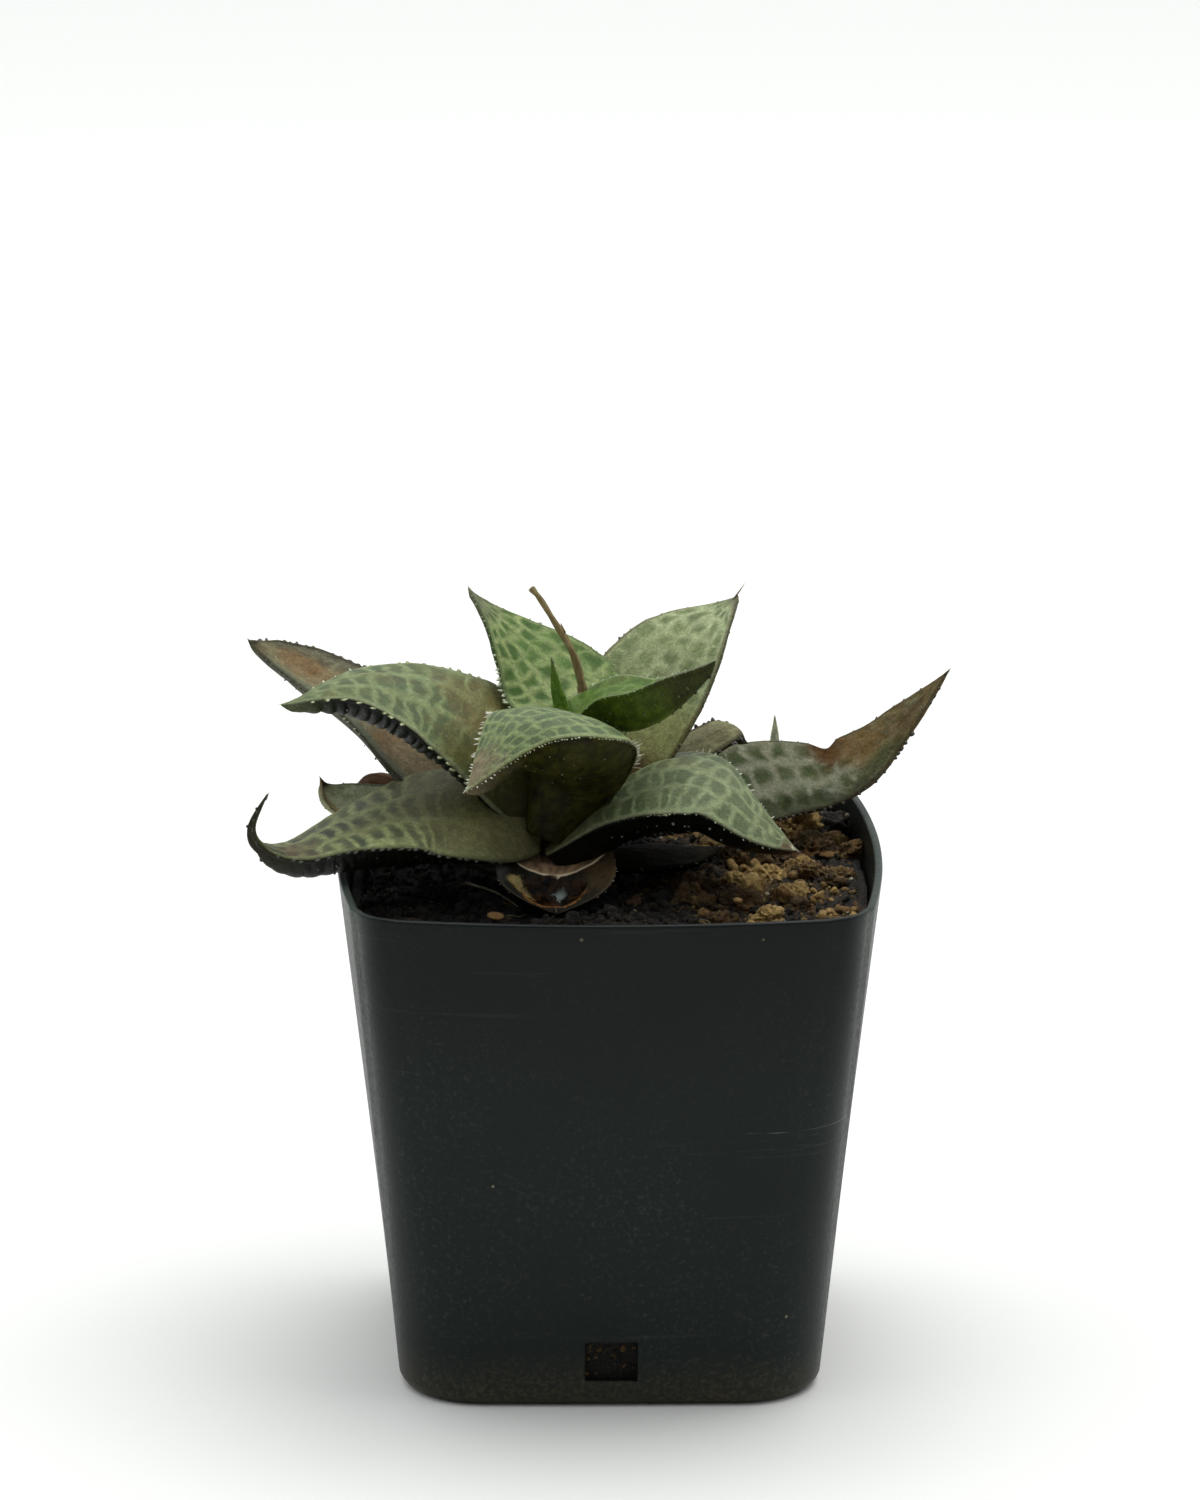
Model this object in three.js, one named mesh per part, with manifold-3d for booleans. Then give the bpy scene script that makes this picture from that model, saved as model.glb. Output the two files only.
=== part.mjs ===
// A potted haworthia: a dark square nursery pot, soil, a short stem with a
// rosette of thick toothed leaves, some of them dead, and the stub of a dried
// flower stalk. Millimetres, +Z up, origin at the middle of the pot's base.
import * as THREE from 'three';
import Module from 'manifold-3d';
import { mergeVertices } from 'three/addons/utils/BufferGeometryUtils.js';

const wasm = await Module();
wasm.setup();

// ---- driving dimensions -------------------------------------------------

const GAP = 0.3;            // left between neighbouring pieces

const POT_HEIGHT = 71.2;
const POT_TOP_HALF = 37.5;  // at the middle of a side
const POT_TOP_BULGE = 2.4;  // how far the thin sides swell outwards
const POT_TOP_CORNER = 6.4; // corner radius at the rim
const POT_BASE_HALF = 29;
const POT_BASE_BULGE = 0.15;
const POT_BASE_CORNER = 11.4;
const POT_BASE_ROUND = 2;   // rounding where the sides meet the base
const POT_WALL = 1.1;
const POT_FLOOR = 1.5;
const HOLE_WIDTH = 7.2;     // drain hole low in the middle of each side
const HOLE_LOW = 3.9;
const HOLE_HIGH = 9.8;
const FOOT_WIDTH = 10;      // shallow notch in the base under each hole
const FOOT_RISE = 0.35;

const SOIL_TOP = 66;
const STEM_X = -6.6;
const STEM_Y = 0.4;
const STEM_LOW = 54;
const STEM_TOP = 87;
const STEM_RADIUS = 4.2;

const PLUMP = 0.8;          // power that thins the keel toward the tip
const EDGE = 0.75;          // thickness of a leaf at its margin
const TOOTH_BASE = 1.0;     // length of a tooth where it leaves the margin
const TOOTH_LENGTH = 0.85;
const BRISTLE = 0.5;        // point past the end of a leaf's spine

// Each leaf is a blade on a spine that runs through its upper face:
//   spine   points from the base to the tip
//   roll    turn of the blade about its spine at the base, middle and tip, degrees
//   half    greatest half-width; root: share of it at the base
//   widest  where the blade is widest, 0 to 1; taper: how full it stays to the tip
//   arch    drop of the margins below the spine (negative: a channelled blade)
//   thick   depth of the keel below the margins; plump: how fast it thins to the tip,
//           PLUMP where it is left out
//   teeth   on each margin, from the fraction `from` of the spine to near the tip
//   tail    a dried thread: where it starts and its half-width
//   notch   a shrivelled bite in one margin: side, place, depth, length
const LEAVES = {
  leaf_centre: {
    spine: [[-5.7, -0.6, 88.4], [-6, -0.9, 91.5], [-6.9, -1.2, 95], [-7.9, -1.6, 98.6]],
    roll: [0, 0, 0], half: 1.7, root: 0.9, widest: 0.15, taper: 1.1,
    arch: -0.2, thick: 1.2, teeth: 3, from: 0.3, look: 'green',
  },
  leaf_front: {
    spine: [[-7.5, -2.4, 73.8], [-4.2, -1.9, 82.7], [-3.6, -5, 89.7], [-6.3, -10.8, 93.7],
      [-12.6, -17.3, 94], [-19.8, -24.4, 86]],
    roll: [-8, 5, -15], half: 10.2, root: 0.4, widest: 0.66, taper: 1.1,
    arch: 2.1, thick: 8.4, teeth: 9, from: 0.4, plump: 0.6, look: 'pale',
  },
  leaf_right_front: {
    spine: [[-9, -4, 72.4], [-0.3, -3.6, 79.6], [7.6, -4.5, 83.4], [14.3, -6.4, 83],
      [19.9, -7.9, 78.4], [25.7, -7.1, 72.6]],
    roll: [3, -8, -7], half: 10.6, root: 0.34, widest: 0.5, taper: 1.9,
    arch: 2, thick: 7.2, teeth: 9, from: 0.3, look: 'pale',
  },
  leaf_left: {
    spine: [[-5.7, -2.6, 75.7], [-11.3, -3, 83.9], [-17.8, -3.3, 90.5], [-26.1, -3.7, 94.9],
      [-35.5, -5.4, 96.3], [-44.7, -8.7, 93.9]],
    roll: [68, 21, -7], half: 10.9, root: 0.5, widest: 0.52, taper: 1.7,
    arch: 1.6, thick: 5.5, teeth: 10, from: 0.3, look: 'pale',
  },
  leaf_left_hooked: {
    spine: [[-9.3, -4.2, 76.3], [-17.9, -7.9, 79.2], [-26.6, -8.8, 79.5], [-35.6, -10.9, 77.5],
      [-42.4, -13.5, 75.3], [-46.4, -15.4, 75.9], [-48, -16.4, 78.7], [-46.3, -17, 83.7]],
    roll: [56, -1, 40], half: 10.8, root: 0.4, widest: 0.36, taper: 1.3,
    arch: 1, thick: 6, teeth: 10, from: 0.2, tail: [0.74, 0.9], look: 'grey',
  },
  leaf_right_young: {
    spine: [[-5.3, -1.4, 90.4], [-0.6, -2.1, 93.4], [4.4, -4.2, 94.4], [9.2, -6.1, 97], [14.2, -8, 99.8]],
    roll: [-21, 4, 3], half: 5.7, root: 0.6, widest: 0.4, taper: 1.4,
    arch: -1.1, thick: 4.4, teeth: 7, from: 0.12, look: 'green',
  },
  leaf_back_left: {
    spine: [[-3.9, 1.4, 84.3], [-4.8, 5.1, 89.6], [-8.3, 8.9, 93.6], [-13.2, 11.8, 98.3],
      [-19.3, 14.2, 104.4]],
    roll: [4, 8, -26], half: 9.8, root: 0.6, widest: 0.42, taper: 1.6,
    arch: -0.7, thick: 2.6, teeth: 8, from: 0.3, plump: 1.4, look: 'green',
  },
  leaf_back_right: {
    spine: [[-2.8, 4.1, 75.7], [0.8, 6.4, 83], [5.2, 9, 90.3], [11.2, 11.6, 97.8], [18, 14.8, 103.1]],
    roll: [-18, -16, 11], half: 10.7, root: 0.55, widest: 0.55, taper: 2.2,
    arch: -0.7, thick: 2.6, teeth: 9, from: 0.34, plump: 1.4, look: 'pale',
  },
  leaf_right_dead: {
    spine: [[-2.5, 2.6, 74.7], [10.6, 10.1, 76], [22.8, 15.3, 76.9], [34.5, 18.6, 78.5], [48, 22.4, 90.3]],
    roll: [-23, -33, -25], half: 7.3, root: 0.6, widest: 0.45, taper: 1.8,
    arch: 0.6, thick: 2.1, teeth: 7, from: 0.35, notch: [-1, 0.7, 0.3, 0.036], look: 'brown',
  },
  leaf_right_curled: {
    spine: [[-1.9, 3.2, 75.1], [4.7, 7.9, 79.2], [11.3, 11, 82.8], [17, 12.9, 85], [19.5, 14.1, 82]],
    roll: [-10, -3, -13], half: 4.4, root: 0.6, widest: 0.5, taper: 2,
    arch: 1.5, thick: 1.6, teeth: 5, from: 0.42, look: 'brown',
  },
  leaf_left_dead: {
    spine: [[-10.3, 1.4, 69.1], [-19.2, 3.3, 75.7], [-26.9, 7.2, 82.2], [-33.5, 12, 88.2],
      [-41.3, 15.5, 92], [-49.9, 16.5, 96.4]],
    roll: [31, 10, 16], half: 7.2, root: 0.6, widest: 0.5, taper: 2.6,
    arch: -1.2, thick: 2, teeth: 9, from: 0.28, look: 'rose',
  },
  leaf_left_small: {
    spine: [[-10.3, -0.6, 67.3], [-19.6, 1.3, 71], [-29, 3.7, 74.2], [-37.3, 5.4, 76.6], [-39.8, 6, 79.4]],
    roll: [10, 22, 16], half: 5.2, root: 0.5, widest: 0.5, taper: 1.8,
    arch: -1.2, thick: 1.6, teeth: 4, from: 0.5, tail: [0.93, 0.5], look: 'grey',
  },
  leaf_left_scrap: {
    spine: [[-9, 5, 68], [-18, 9, 72], [-27, 12, 76.6], [-33, 13.5, 77.8], [-36, 14.5, 74.5]],
    roll: [5, 5, 5], half: 3.6, root: 0.5, widest: 0.6, taper: 2.2,
    arch: 1.4, thick: 1.2, teeth: 0, from: 0.4, look: 'brown',
  },
  leaf_right_low: {
    spine: [[-4.6, -2.5, 70.1], [0.6, -2, 70.9], [5.9, -0.9, 70.9], [11, 0.8, 70.5], [15.7, 3.1, 70.3]],
    roll: [-4, -3, -7], half: 5, root: 0.6, widest: 0.45, taper: 1.8,
    arch: 0.7, thick: 2, teeth: 5, from: 0.4, look: 'grey',
  },
  leaf_back: {
    spine: [[-7, 5.2, 77], [-7.4, 10.5, 82.6], [-7.3, 18, 85.8], [-6.8, 26, 86.5], [-6, 33.5, 84.2]],
    roll: [0, 0, 0], half: 8.4, root: 0.5, widest: 0.5, taper: 1.8,
    arch: 1.2, thick: 3.8, teeth: 7, from: 0.3, look: 'pale',
  },
  leaf_back_low_left: {
    spine: [[-8.5, 4.8, 73], [-11.5, 12, 78.4], [-14.5, 20, 81.3], [-17.5, 27.5, 81.2],
      [-20.5, 34, 78.5]],
    roll: [0, 0, 0], half: 8, root: 0.5, widest: 0.5, taper: 1.8,
    arch: 1.2, thick: 3.4, teeth: 7, from: 0.3, look: 'grey',
  },
  leaf_back_low_right: {
    spine: [[-5.4, 4.8, 71.5], [-3, 12.5, 75.4], [-0.5, 20.5, 77], [2, 28, 76.4], [4, 34.5, 73.6]],
    roll: [0, 0, 0], half: 7, root: 0.5, widest: 0.5, taper: 1.8,
    arch: 1.2, thick: 3, teeth: 6, from: 0.3, look: 'grey',
  },
  leaf_front_dead: {
    spine: [[-7.6, -3.7, 70.9], [-7.5, -7.5, 70.6], [-7.5, -11.5, 69.9], [-7.4, -15, 68.9],
      [-7.4, -18.2, 67.1]],
    roll: [0, 0, 0], half: 8.2, root: 0.85, widest: 0.5, taper: 3.5,
    arch: -2.2, thick: 3.2, teeth: 4, from: 0.15, plump: 0.3, look: 'rose',
  },
  offset_shoot: {
    spine: [[23.3, 27, 61], [23.6, 27, 69], [23.5, 26.8, 76], [23.7, 26.5, 82.6]],
    roll: [0, 0, 0], half: 1, root: 1, widest: 0.5, taper: 2.5,
    arch: -0.3, thick: 0.8, teeth: 0, from: 0.3, look: 'shoot',
  },
};

// dried flower stalk, from inside the stem to its frayed end: point, radius
const STALK = [
  [-4.7, 1.6, 84, 0.75], [-3.4, 2.2, 88, 0.72], [-3.2, 2.6, 91, 0.7], [-3.9, 3.1, 94.1, 0.62],
  [-5, 3.3, 97.9, 0.52], [-7.6, 3.6, 102.4, 0.45], [-9.6, 3.8, 105.6, 0.4], [-10.7, 4, 106.9, 0.48],
];

// the hollow in the dead front leaf: its middle and its half-sizes
const HOLLOW_AT = [-8.3, -13.9, 69.5];
const HOLLOW_SIZE = [4.5, 3.2, 2.6];

// lumps on the soil: x, y, radius, height above the soil
const LUMPS = [
  [8.5, 1.5, 2.2, 0.7], [12.2, -3.3, 2.6, 1], [11.4, -10.4, 2.2, 0.4], [17.9, 8.3, 2.6, 1],
  [31.5, 24.5, 4, 1.2], [27, 21.5, 3.4, 1.2], [29, 13.1, 3.2, 0.9], [24.5, 9.5, 2.6, 0.8],
  [17.5, -8.8, 2, 0.8], [32, 1.1, 1.6, 0.6], [22, 1, 2.2, 0.6], [25, -6, 2.4, 0.5],
  [-24.7, -6.5, 2.4, 0.4], [-15.6, -12.8, 2, 0.4], [-27, 22, 3, 0.8], [24, 31, 2.6, 0.8],
];

const COLOURS = {
  pot: 0x1c2422, soil: 0x3a2a1c, stem: 0x5c5138, stalk: 0x6b4634,
  green: 0x4f7a3c, pale: 0x8a9a72, grey: 0x76826a, brown: 0x75654c, rose: 0x8c6c5c, shoot: 0xa9b880,
};

// ---- helpers ------------------------------------------------------------

// repeatable random numbers from 0 to 1
function seeded(seed) {
  let state = seed;
  return () => {
    state = (state + 0x6d2b79f5) | 0;
    let t = Math.imul(state ^ (state >>> 15), 1 | state);
    t = (t + Math.imul(t ^ (t >>> 7), 61 | t)) ^ t;
    return ((t ^ (t >>> 14)) >>> 0) / 4294967296;
  };
}

const lerp = THREE.MathUtils.lerp;
const vec = (x, y, z) => new THREE.Vector3(x, y, z);

function signedVolume(points, index) {
  let sum = 0;
  for (let k = 0; k < index.length; k += 3) {
    const [a, b, c] = [points[index[k]], points[index[k + 1]], points[index[k + 2]]];
    sum += a.dot(b.clone().cross(c)) / 6;
  }
  return sum;
}

function geometryFrom(points, index) {
  const geometry = new THREE.BufferGeometry().setFromPoints(points);
  geometry.setIndex(index);
  return geometry;
}

// A closed skin over rings of points, its two ends closed by fans. A spike
// {ring, column, tip} draws the patch between two rings out to a point. The
// patches from column `fold` on are split the other way, so that both faces
// of a thin blade are split alike.
function skin(rings, start, end, spikes = [], fold = Infinity) {
  const around = rings[0].length;
  const points = rings.flat();
  const index = [];
  const at = (i, j) => i * around + (j % around);
  const tips = new Map(spikes.map((s) => [at(s.ring, s.column), s.tip]));
  for (let i = 0; i < rings.length - 1; i += 1) {
    for (let j = 0; j < around; j += 1) {
      const [a, b, c, d] = [at(i, j), at(i, j + 1), at(i + 1, j + 1), at(i + 1, j)];
      if (tips.has(a)) {
        const tip = points.push(tips.get(a)) - 1;
        index.push(a, b, tip, b, c, tip, c, d, tip, d, a, tip);
      } else if (j < fold) {
        index.push(a, b, c, a, c, d);
      } else {
        index.push(a, b, d, b, c, d);
      }
    }
  }
  const first = points.push(start) - 1;
  const last = points.push(end) - 1;
  const top = rings.length - 1;
  for (let j = 0; j < around; j += 1) {
    index.push(at(0, j + 1), at(0, j), first);
    index.push(at(top, j), at(top, j + 1), last);
  }
  if (signedVolume(points, index) < 0) {
    index.reverse();
  }
  return geometryFrom(points, index);
}

function toSolid(geometry) {
  return new wasm.Manifold(new wasm.Mesh({
    numProp: 3,
    vertProperties: new Float32Array(geometry.attributes.position.array),
    triVerts: new Uint32Array(geometry.index.array),
  }));
}

// the largest connected body of a solid, without the scraps a cut leaves
function toGeometry(solid) {
  const mesh = solid.getMesh();
  const points = [];
  for (let k = 0; k < mesh.vertProperties.length; k += mesh.numProp) {
    points.push(vec(...mesh.vertProperties.slice(k, k + 3)));
  }
  const owner = points.map((_, k) => k);
  const find = (k) => {
    let root = k;
    while (owner[root] !== root) {
      owner[root] = owner[owner[root]];
      root = owner[root];
    }
    return root;
  };
  const tri = Array.from(mesh.triVerts);
  for (let k = 0; k < tri.length; k += 3) {
    owner[find(tri[k + 1])] = find(tri[k]);
    owner[find(tri[k + 2])] = find(tri[k]);
  }
  const bodies = new Map();
  for (let k = 0; k < tri.length; k += 3) {
    const body = find(tri[k]);
    bodies.set(body, [...(bodies.get(body) || []), tri[k], tri[k + 1], tri[k + 2]]);
  }
  const size = (index) => Math.abs(signedVolume(points, index));
  const [best] = [...bodies.values()].sort((a, b) => size(b) - size(a));
  const renumber = new Map();
  const kept = [];
  const index = best.map((k) => {
    if (!renumber.has(k)) {
      renumber.set(k, kept.push(points[k]) - 1);
    }
    return renumber.get(k);
  });
  return geometryFrom(kept, index);
}

// a rounded square of points with swelling sides, at height z
const SIDE_STEPS = 6;
const CORNER_STEPS = 5;
function squareRing(half, bulge, corner, z) {
  const flat = half - bulge - 0.98 * corner;
  const radius = (flat * flat + bulge * bulge) / (2 * bulge);
  const swing = Math.asin(flat / radius);
  const quarter = [];
  for (let k = 0; k <= SIDE_STEPS; k += 1) {
    const a = lerp(-swing, swing, k / SIDE_STEPS);
    quarter.push([radius * Math.sin(a), half - radius + radius * Math.cos(a)]);
  }
  const middle = (flat + half - bulge - corner * (Math.sin(swing) + Math.cos(swing))) / 2;
  for (let k = 1; k < CORNER_STEPS; k += 1) {
    const a = lerp(Math.PI / 2 - swing, swing, k / CORNER_STEPS);
    quarter.push([middle + corner * Math.cos(a), middle + corner * Math.sin(a)]);
  }
  const ring = [];
  for (let turn = 0; turn < 4; turn += 1) {
    const a = (-turn * Math.PI) / 2;
    for (const [x, y] of quarter) {
      ring.push(vec(x * Math.cos(a) - y * Math.sin(a), x * Math.sin(a) + y * Math.cos(a), z));
    }
  }
  return ring;
}

// the pot's outline at height z, moved in by `inset`
function potRing(z, inset) {
  const s = z / POT_HEIGHT;
  return squareRing(
    lerp(POT_BASE_HALF, POT_TOP_HALF, s) - inset,
    lerp(POT_BASE_BULGE, POT_TOP_BULGE, s),
    lerp(POT_BASE_CORNER, POT_TOP_CORNER, s) - inset,
    z,
  );
}

// smooth noise from -1 to 1 over x, y
function relief(x, y) {
  const hash = (i, j) => {
    const s = Math.sin(i * 127.1 + j * 311.7) * 43758.5453;
    return (s - Math.floor(s)) * 2 - 1;
  };
  const i = Math.floor(x);
  const j = Math.floor(y);
  const u = THREE.MathUtils.smoothstep(x - i, 0, 1);
  const v = THREE.MathUtils.smoothstep(y - j, 0, 1);
  return lerp(lerp(hash(i, j), hash(i + 1, j), u), lerp(hash(i, j + 1), hash(i + 1, j + 1), u), v);
}

const soilHeight = (x, y) => SOIL_TOP + 0.9 * relief(x / 9, y / 9) + 0.5 * relief(x / 3.6 + 7, y / 3.6);

// ---- leaves -------------------------------------------------------------

function halfWidth(leaf, t) {
  if (leaf.tail && t >= leaf.tail[0]) {
    const past = (t - leaf.tail[0]) / (1 - leaf.tail[0]);
    return leaf.tail[1] * (1 - past ** 1.3);
  }
  const s = leaf.tail ? t / leaf.tail[0] : t;
  const least = leaf.tail ? leaf.tail[1] : 0;
  let share = 1 - Math.max(0, (s - leaf.widest) / (1 - leaf.widest)) ** leaf.taper;
  if (s < leaf.widest) {
    share = lerp(leaf.root, 1, 1 - (1 - s / leaf.widest) ** 2);
  }
  return lerp(least, leaf.half, share);
}

// the blade's place, side and up directions at t
function frameAt(leaf, curve, t) {
  const along = curve.getTangent(t);
  const heading = curve.getPoint(1).sub(curve.getPoint(0)).setZ(0).normalize();
  const side = heading.cross(vec(0, 0, 1));
  side.addScaledVector(along, -side.dot(along)).normalize();
  const up = side.clone().cross(along);
  const [a, b, c] = leaf.roll;
  const roll = a * (1 - t) * (1 - 2 * t) + b * 4 * t * (1 - t) + c * t * (2 * t - 1);
  const turn = THREE.MathUtils.degToRad(roll);
  return {
    place: curve.getPoint(t),
    along,
    side: side.clone().multiplyScalar(Math.cos(turn)).addScaledVector(up, Math.sin(turn)),
    up: up.clone().multiplyScalar(Math.cos(turn)).addScaledVector(side, -Math.sin(turn)),
  };
}

const ACROSS = [-1, -0.62, 0, 0.62, 1];

// A leaf's skin, `grow` larger all round for cutting its neighbours. A tooth
// whose tip would stand inside one of the `others` is left off.
function leafSkin(leaf, grow = 0, others = [], seed = 1) {
  const random = seeded(seed);
  const curve = new THREE.CatmullRomCurve3(leaf.spine.map((p) => vec(...p)), false, 'catmullrom', 0.5);
  const length = curve.getLength();
  const stops = [0];
  const pairs = [];
  const reach = leaf.tail ? leaf.tail[0] : 0.95;
  for (let k = 0; k < leaf.teeth; k += 1) {
    const t = lerp(leaf.from, reach, k / Math.max(1, leaf.teeth - 1));
    pairs.push(t);
  }
  const smooth = leaf.teeth ? Math.round(leaf.from * length / 4) : Math.round(length / 3);
  const until = leaf.teeth ? leaf.from : 0.97;
  for (let k = 1; k < Math.max(2, smooth); k += 1) {
    stops.push((until * k) / Math.max(2, smooth));
  }
  const ringOf = [];
  const span = TOOTH_BASE / 2 / length;
  for (const t of pairs) {
    ringOf.push(stops.length);
    stops.push(t - span, t + span);
  }
  if (leaf.tail) {
    for (const k of [0.3, 0.6, 0.85]) {
      stops.push(lerp(leaf.tail[0], 1, k));
    }
  } else {
    stops.push(0.985);
  }
  const sections = stops.map((t) => {
    const f = frameAt(leaf, curve, t);
    const half = Math.max(0.3, halfWidth(leaf, t));
    const share = half / leaf.half;
    const full = t < leaf.widest ? lerp(0.7, 1, t / leaf.widest) : share ** (leaf.plump ?? PLUMP);
    const keel = leaf.thick * full;
    const sides = [-1, 1].map((s) => {
      if (!leaf.notch || leaf.notch[0] !== s) {
        return half + grow;
      }
      const off = (t - leaf.notch[1]) / leaf.notch[3];
      return half * (1 - leaf.notch[2] * Math.exp(-off * off)) + grow;
    });
    const point = (u, drop) => {
      const wide = sides[u < 0 ? 0 : 1];
      return f.place.clone()
        .addScaledVector(f.side, u * wide)
        .addScaledVector(f.up, -leaf.arch * share * u * u - drop);
    };
    const upper = ACROSS.map((u) => point(u, -grow));
    const lower = ACROSS.map((u) => point(-u, EDGE + keel * (1 - Math.abs(u) ** 3) + grow));
    return { f, half, share, point, ring: [...upper, ...lower] };
  });
  const spikes = [];
  if (!grow) {
    ringOf.forEach((ring) => {
      for (const s of [-1, 1]) {
        const a = sections[ring];
        const b = sections[ring + 1];
        const size = TOOTH_LENGTH * lerp(0.8, 1.15, random());
        const root = a.point(s, EDGE / 2).add(b.point(s, EDGE / 2)).multiplyScalar(0.5);
        const out = a.f.side.clone().multiplyScalar(s).addScaledVector(a.f.along, 0.45).normalize();
        const tip = root.addScaledVector(out, size);
        if (!others.some((o) => holds(o, tip))) {
          spikes.push({ ring, column: s > 0 ? 4 : 9, tip });
        }
      }
    });
  }
  const first = sections[0].f;
  const start = first.place.clone().addScaledVector(first.along, -grow)
    .addScaledVector(first.up, -EDGE / 2 - leaf.thick * 0.35);
  const last = frameAt(leaf, curve, 1);
  const end = last.place.clone().addScaledVector(last.along, BRISTLE + grow)
    .addScaledVector(last.up, -EDGE / 2);
  return skin(sections.map((s) => s.ring), start, end, spikes, 4);
}

// whether a point lies inside a closed geometry
function holds(geometry, point) {
  geometry.computeBoundingBox();
  if (!geometry.boundingBox.containsPoint(point)) {
    return false;
  }
  const p = geometry.attributes.position;
  const index = geometry.index.array;
  const ray = new THREE.Ray(point, vec(0.31, 0.17, 0.93).normalize());
  const hit = vec(0, 0, 0);
  let count = 0;
  for (let k = 0; k < index.length; k += 3) {
    const [a, b, c] = [0, 1, 2].map((n) => vec(0, 0, 0).fromBufferAttribute(p, index[k + n]));
    if (ray.intersectTriangle(a, b, c, false, hit)) {
      count += 1;
    }
  }
  return count % 2 === 1;
}

// ---- pot ----------------------------------------------------------------

function buildPot() {
  const rings = [];
  for (const turn of [0, 30, 60, 90]) {
    const a = THREE.MathUtils.degToRad(turn);
    rings.push(potRing(POT_BASE_ROUND * (1 - Math.cos(a)), POT_BASE_ROUND * (1 - Math.sin(a))));
  }
  rings.push(potRing(POT_HEIGHT * 0.5, 0));
  rings.push(potRing(POT_HEIGHT - 0.4, 0));
  rings.push(potRing(POT_HEIGHT - 0.1, 0.12));
  rings.push(potRing(POT_HEIGHT, 0.4));
  rings.push(potRing(POT_HEIGHT, POT_WALL - 0.4));
  rings.push(potRing(POT_HEIGHT - 0.1, POT_WALL - 0.12));
  rings.push(potRing(POT_HEIGHT - 0.4, POT_WALL));
  rings.push(potRing(POT_HEIGHT * 0.5, POT_WALL));
  rings.push(potRing(POT_FLOOR + 1.5, POT_WALL));
  rings.push(potRing(POT_FLOOR + 0.4, POT_WALL + 0.5));
  rings.push(potRing(POT_FLOOR, POT_WALL + 1.7));
  let solid = toSolid(skin(rings, vec(0, 0, 0), vec(0, 0, POT_FLOOR)));
  for (let side = 0; side < 4; side += 1) {
    const hole = new THREE.BoxGeometry(HOLE_WIDTH, 6, HOLE_HIGH - HOLE_LOW);
    hole.translate(0, -POT_BASE_HALF, (HOLE_LOW + HOLE_HIGH) / 2);
    const foot = new THREE.BoxGeometry(FOOT_WIDTH, 10, 2 * FOOT_RISE);
    foot.translate(0, -POT_BASE_HALF, 0);
    for (const tool of [hole, foot]) {
      tool.rotateZ((side * Math.PI) / 2);
      solid = solid.subtract(toSolid(merged(tool)));
    }
  }
  return toGeometry(solid);
}

// a geometry with its shared corners joined
function merged(geometry) {
  geometry.deleteAttribute('normal');
  geometry.deleteAttribute('uv');
  return mergeVertices(geometry, 1e-4);
}

// ---- soil ---------------------------------------------------------------

function buildSoil(cutters) {
  const random = seeded(7);
  const rings = [];
  const inset = POT_WALL + GAP;
  rings.push(potRing(POT_FLOOR + GAP, inset + 2));
  rings.push(potRing(POT_FLOOR + GAP + 0.5, inset + 0.8));
  rings.push(potRing(POT_FLOOR + GAP + 1.6, inset));
  rings.push(potRing(POT_HEIGHT * 0.5, inset));
  const edge = potRing(SOIL_TOP - 0.5, inset);
  const fractions = [1, 0.92, 0.82, 0.71, 0.6, 0.49, 0.37, 0.24, 0.12];
  for (const share of fractions) {
    rings.push(edge.map((p) => {
      const x = p.x * share;
      const y = p.y * share;
      const rough = share < 1 ? 0.5 * (random() - 0.5) : 0;
      const shift = share < 1 && share > 0.2 ? 0.6 : 0;
      return vec(
        x + shift * (random() - 0.5),
        y + shift * (random() - 0.5),
        share < 1 ? soilHeight(x, y) + rough : SOIL_TOP - 0.5,
      );
    }));
  }
  let solid = toSolid(skin(rings, vec(0, 0, POT_FLOOR + GAP), vec(0, 0, SOIL_TOP)));
  for (const [x, y, radius, rise] of LUMPS) {
    const lump = merged(new THREE.IcosahedronGeometry(radius, 1));
    const p = lump.attributes.position;
    const stretch = lerp(0.75, 1.2, random());
    for (let k = 0; k < p.count; k += 1) {
      const swell = lerp(0.78, 1.08, random());
      p.setXYZ(k, p.getX(k) * swell * stretch, p.getY(k) * swell / stretch, p.getZ(k) * swell * 0.75);
    }
    lump.rotateZ(random() * Math.PI);
    lump.translate(x, y, soilHeight(x, y) + rise - radius * 0.3);
    solid = solid.add(toSolid(lump));
  }
  const heights = [0, 0.5, 1].map((share) => potRing(share * POT_HEIGHT, inset));
  solid = solid.intersect(toSolid(skin(heights, vec(0, 0, 0), vec(0, 0, POT_HEIGHT))));
  for (const cutter of cutters) {
    if (solid.intersect(cutter).volume() > 0.01) {
      solid = solid.subtract(cutter);
    }
  }
  return toGeometry(solid);
}

// the hollow that has rotted into the upper face of the dead front leaf
function hollowSkin() {
  const [x, y, z] = HOLLOW_AT;
  const ball = new THREE.SphereGeometry(1, 14, 9);
  ball.scale(...HOLLOW_SIZE);
  ball.translate(x, y, z);
  return merged(ball);
}

// ---- stem and stalk -----------------------------------------------------

function stemSkin(grow) {
  const r = STEM_RADIUS + grow;
  const profile = [
    [0, STEM_LOW - grow], [r * 0.75, STEM_LOW - grow], [r, STEM_LOW + 3], [r, 74], [r * 0.86, 80],
    [r * 0.74, STEM_TOP - 1.5 + grow], [r * 0.55, STEM_TOP - 0.3 + grow], [0, STEM_TOP + grow],
  ];
  const lathe = new THREE.LatheGeometry(profile.map(([x, y]) => new THREE.Vector2(x, y)), 16);
  lathe.rotateX(Math.PI / 2);
  lathe.translate(STEM_X, STEM_Y, 0);
  return merged(lathe);
}

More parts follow.
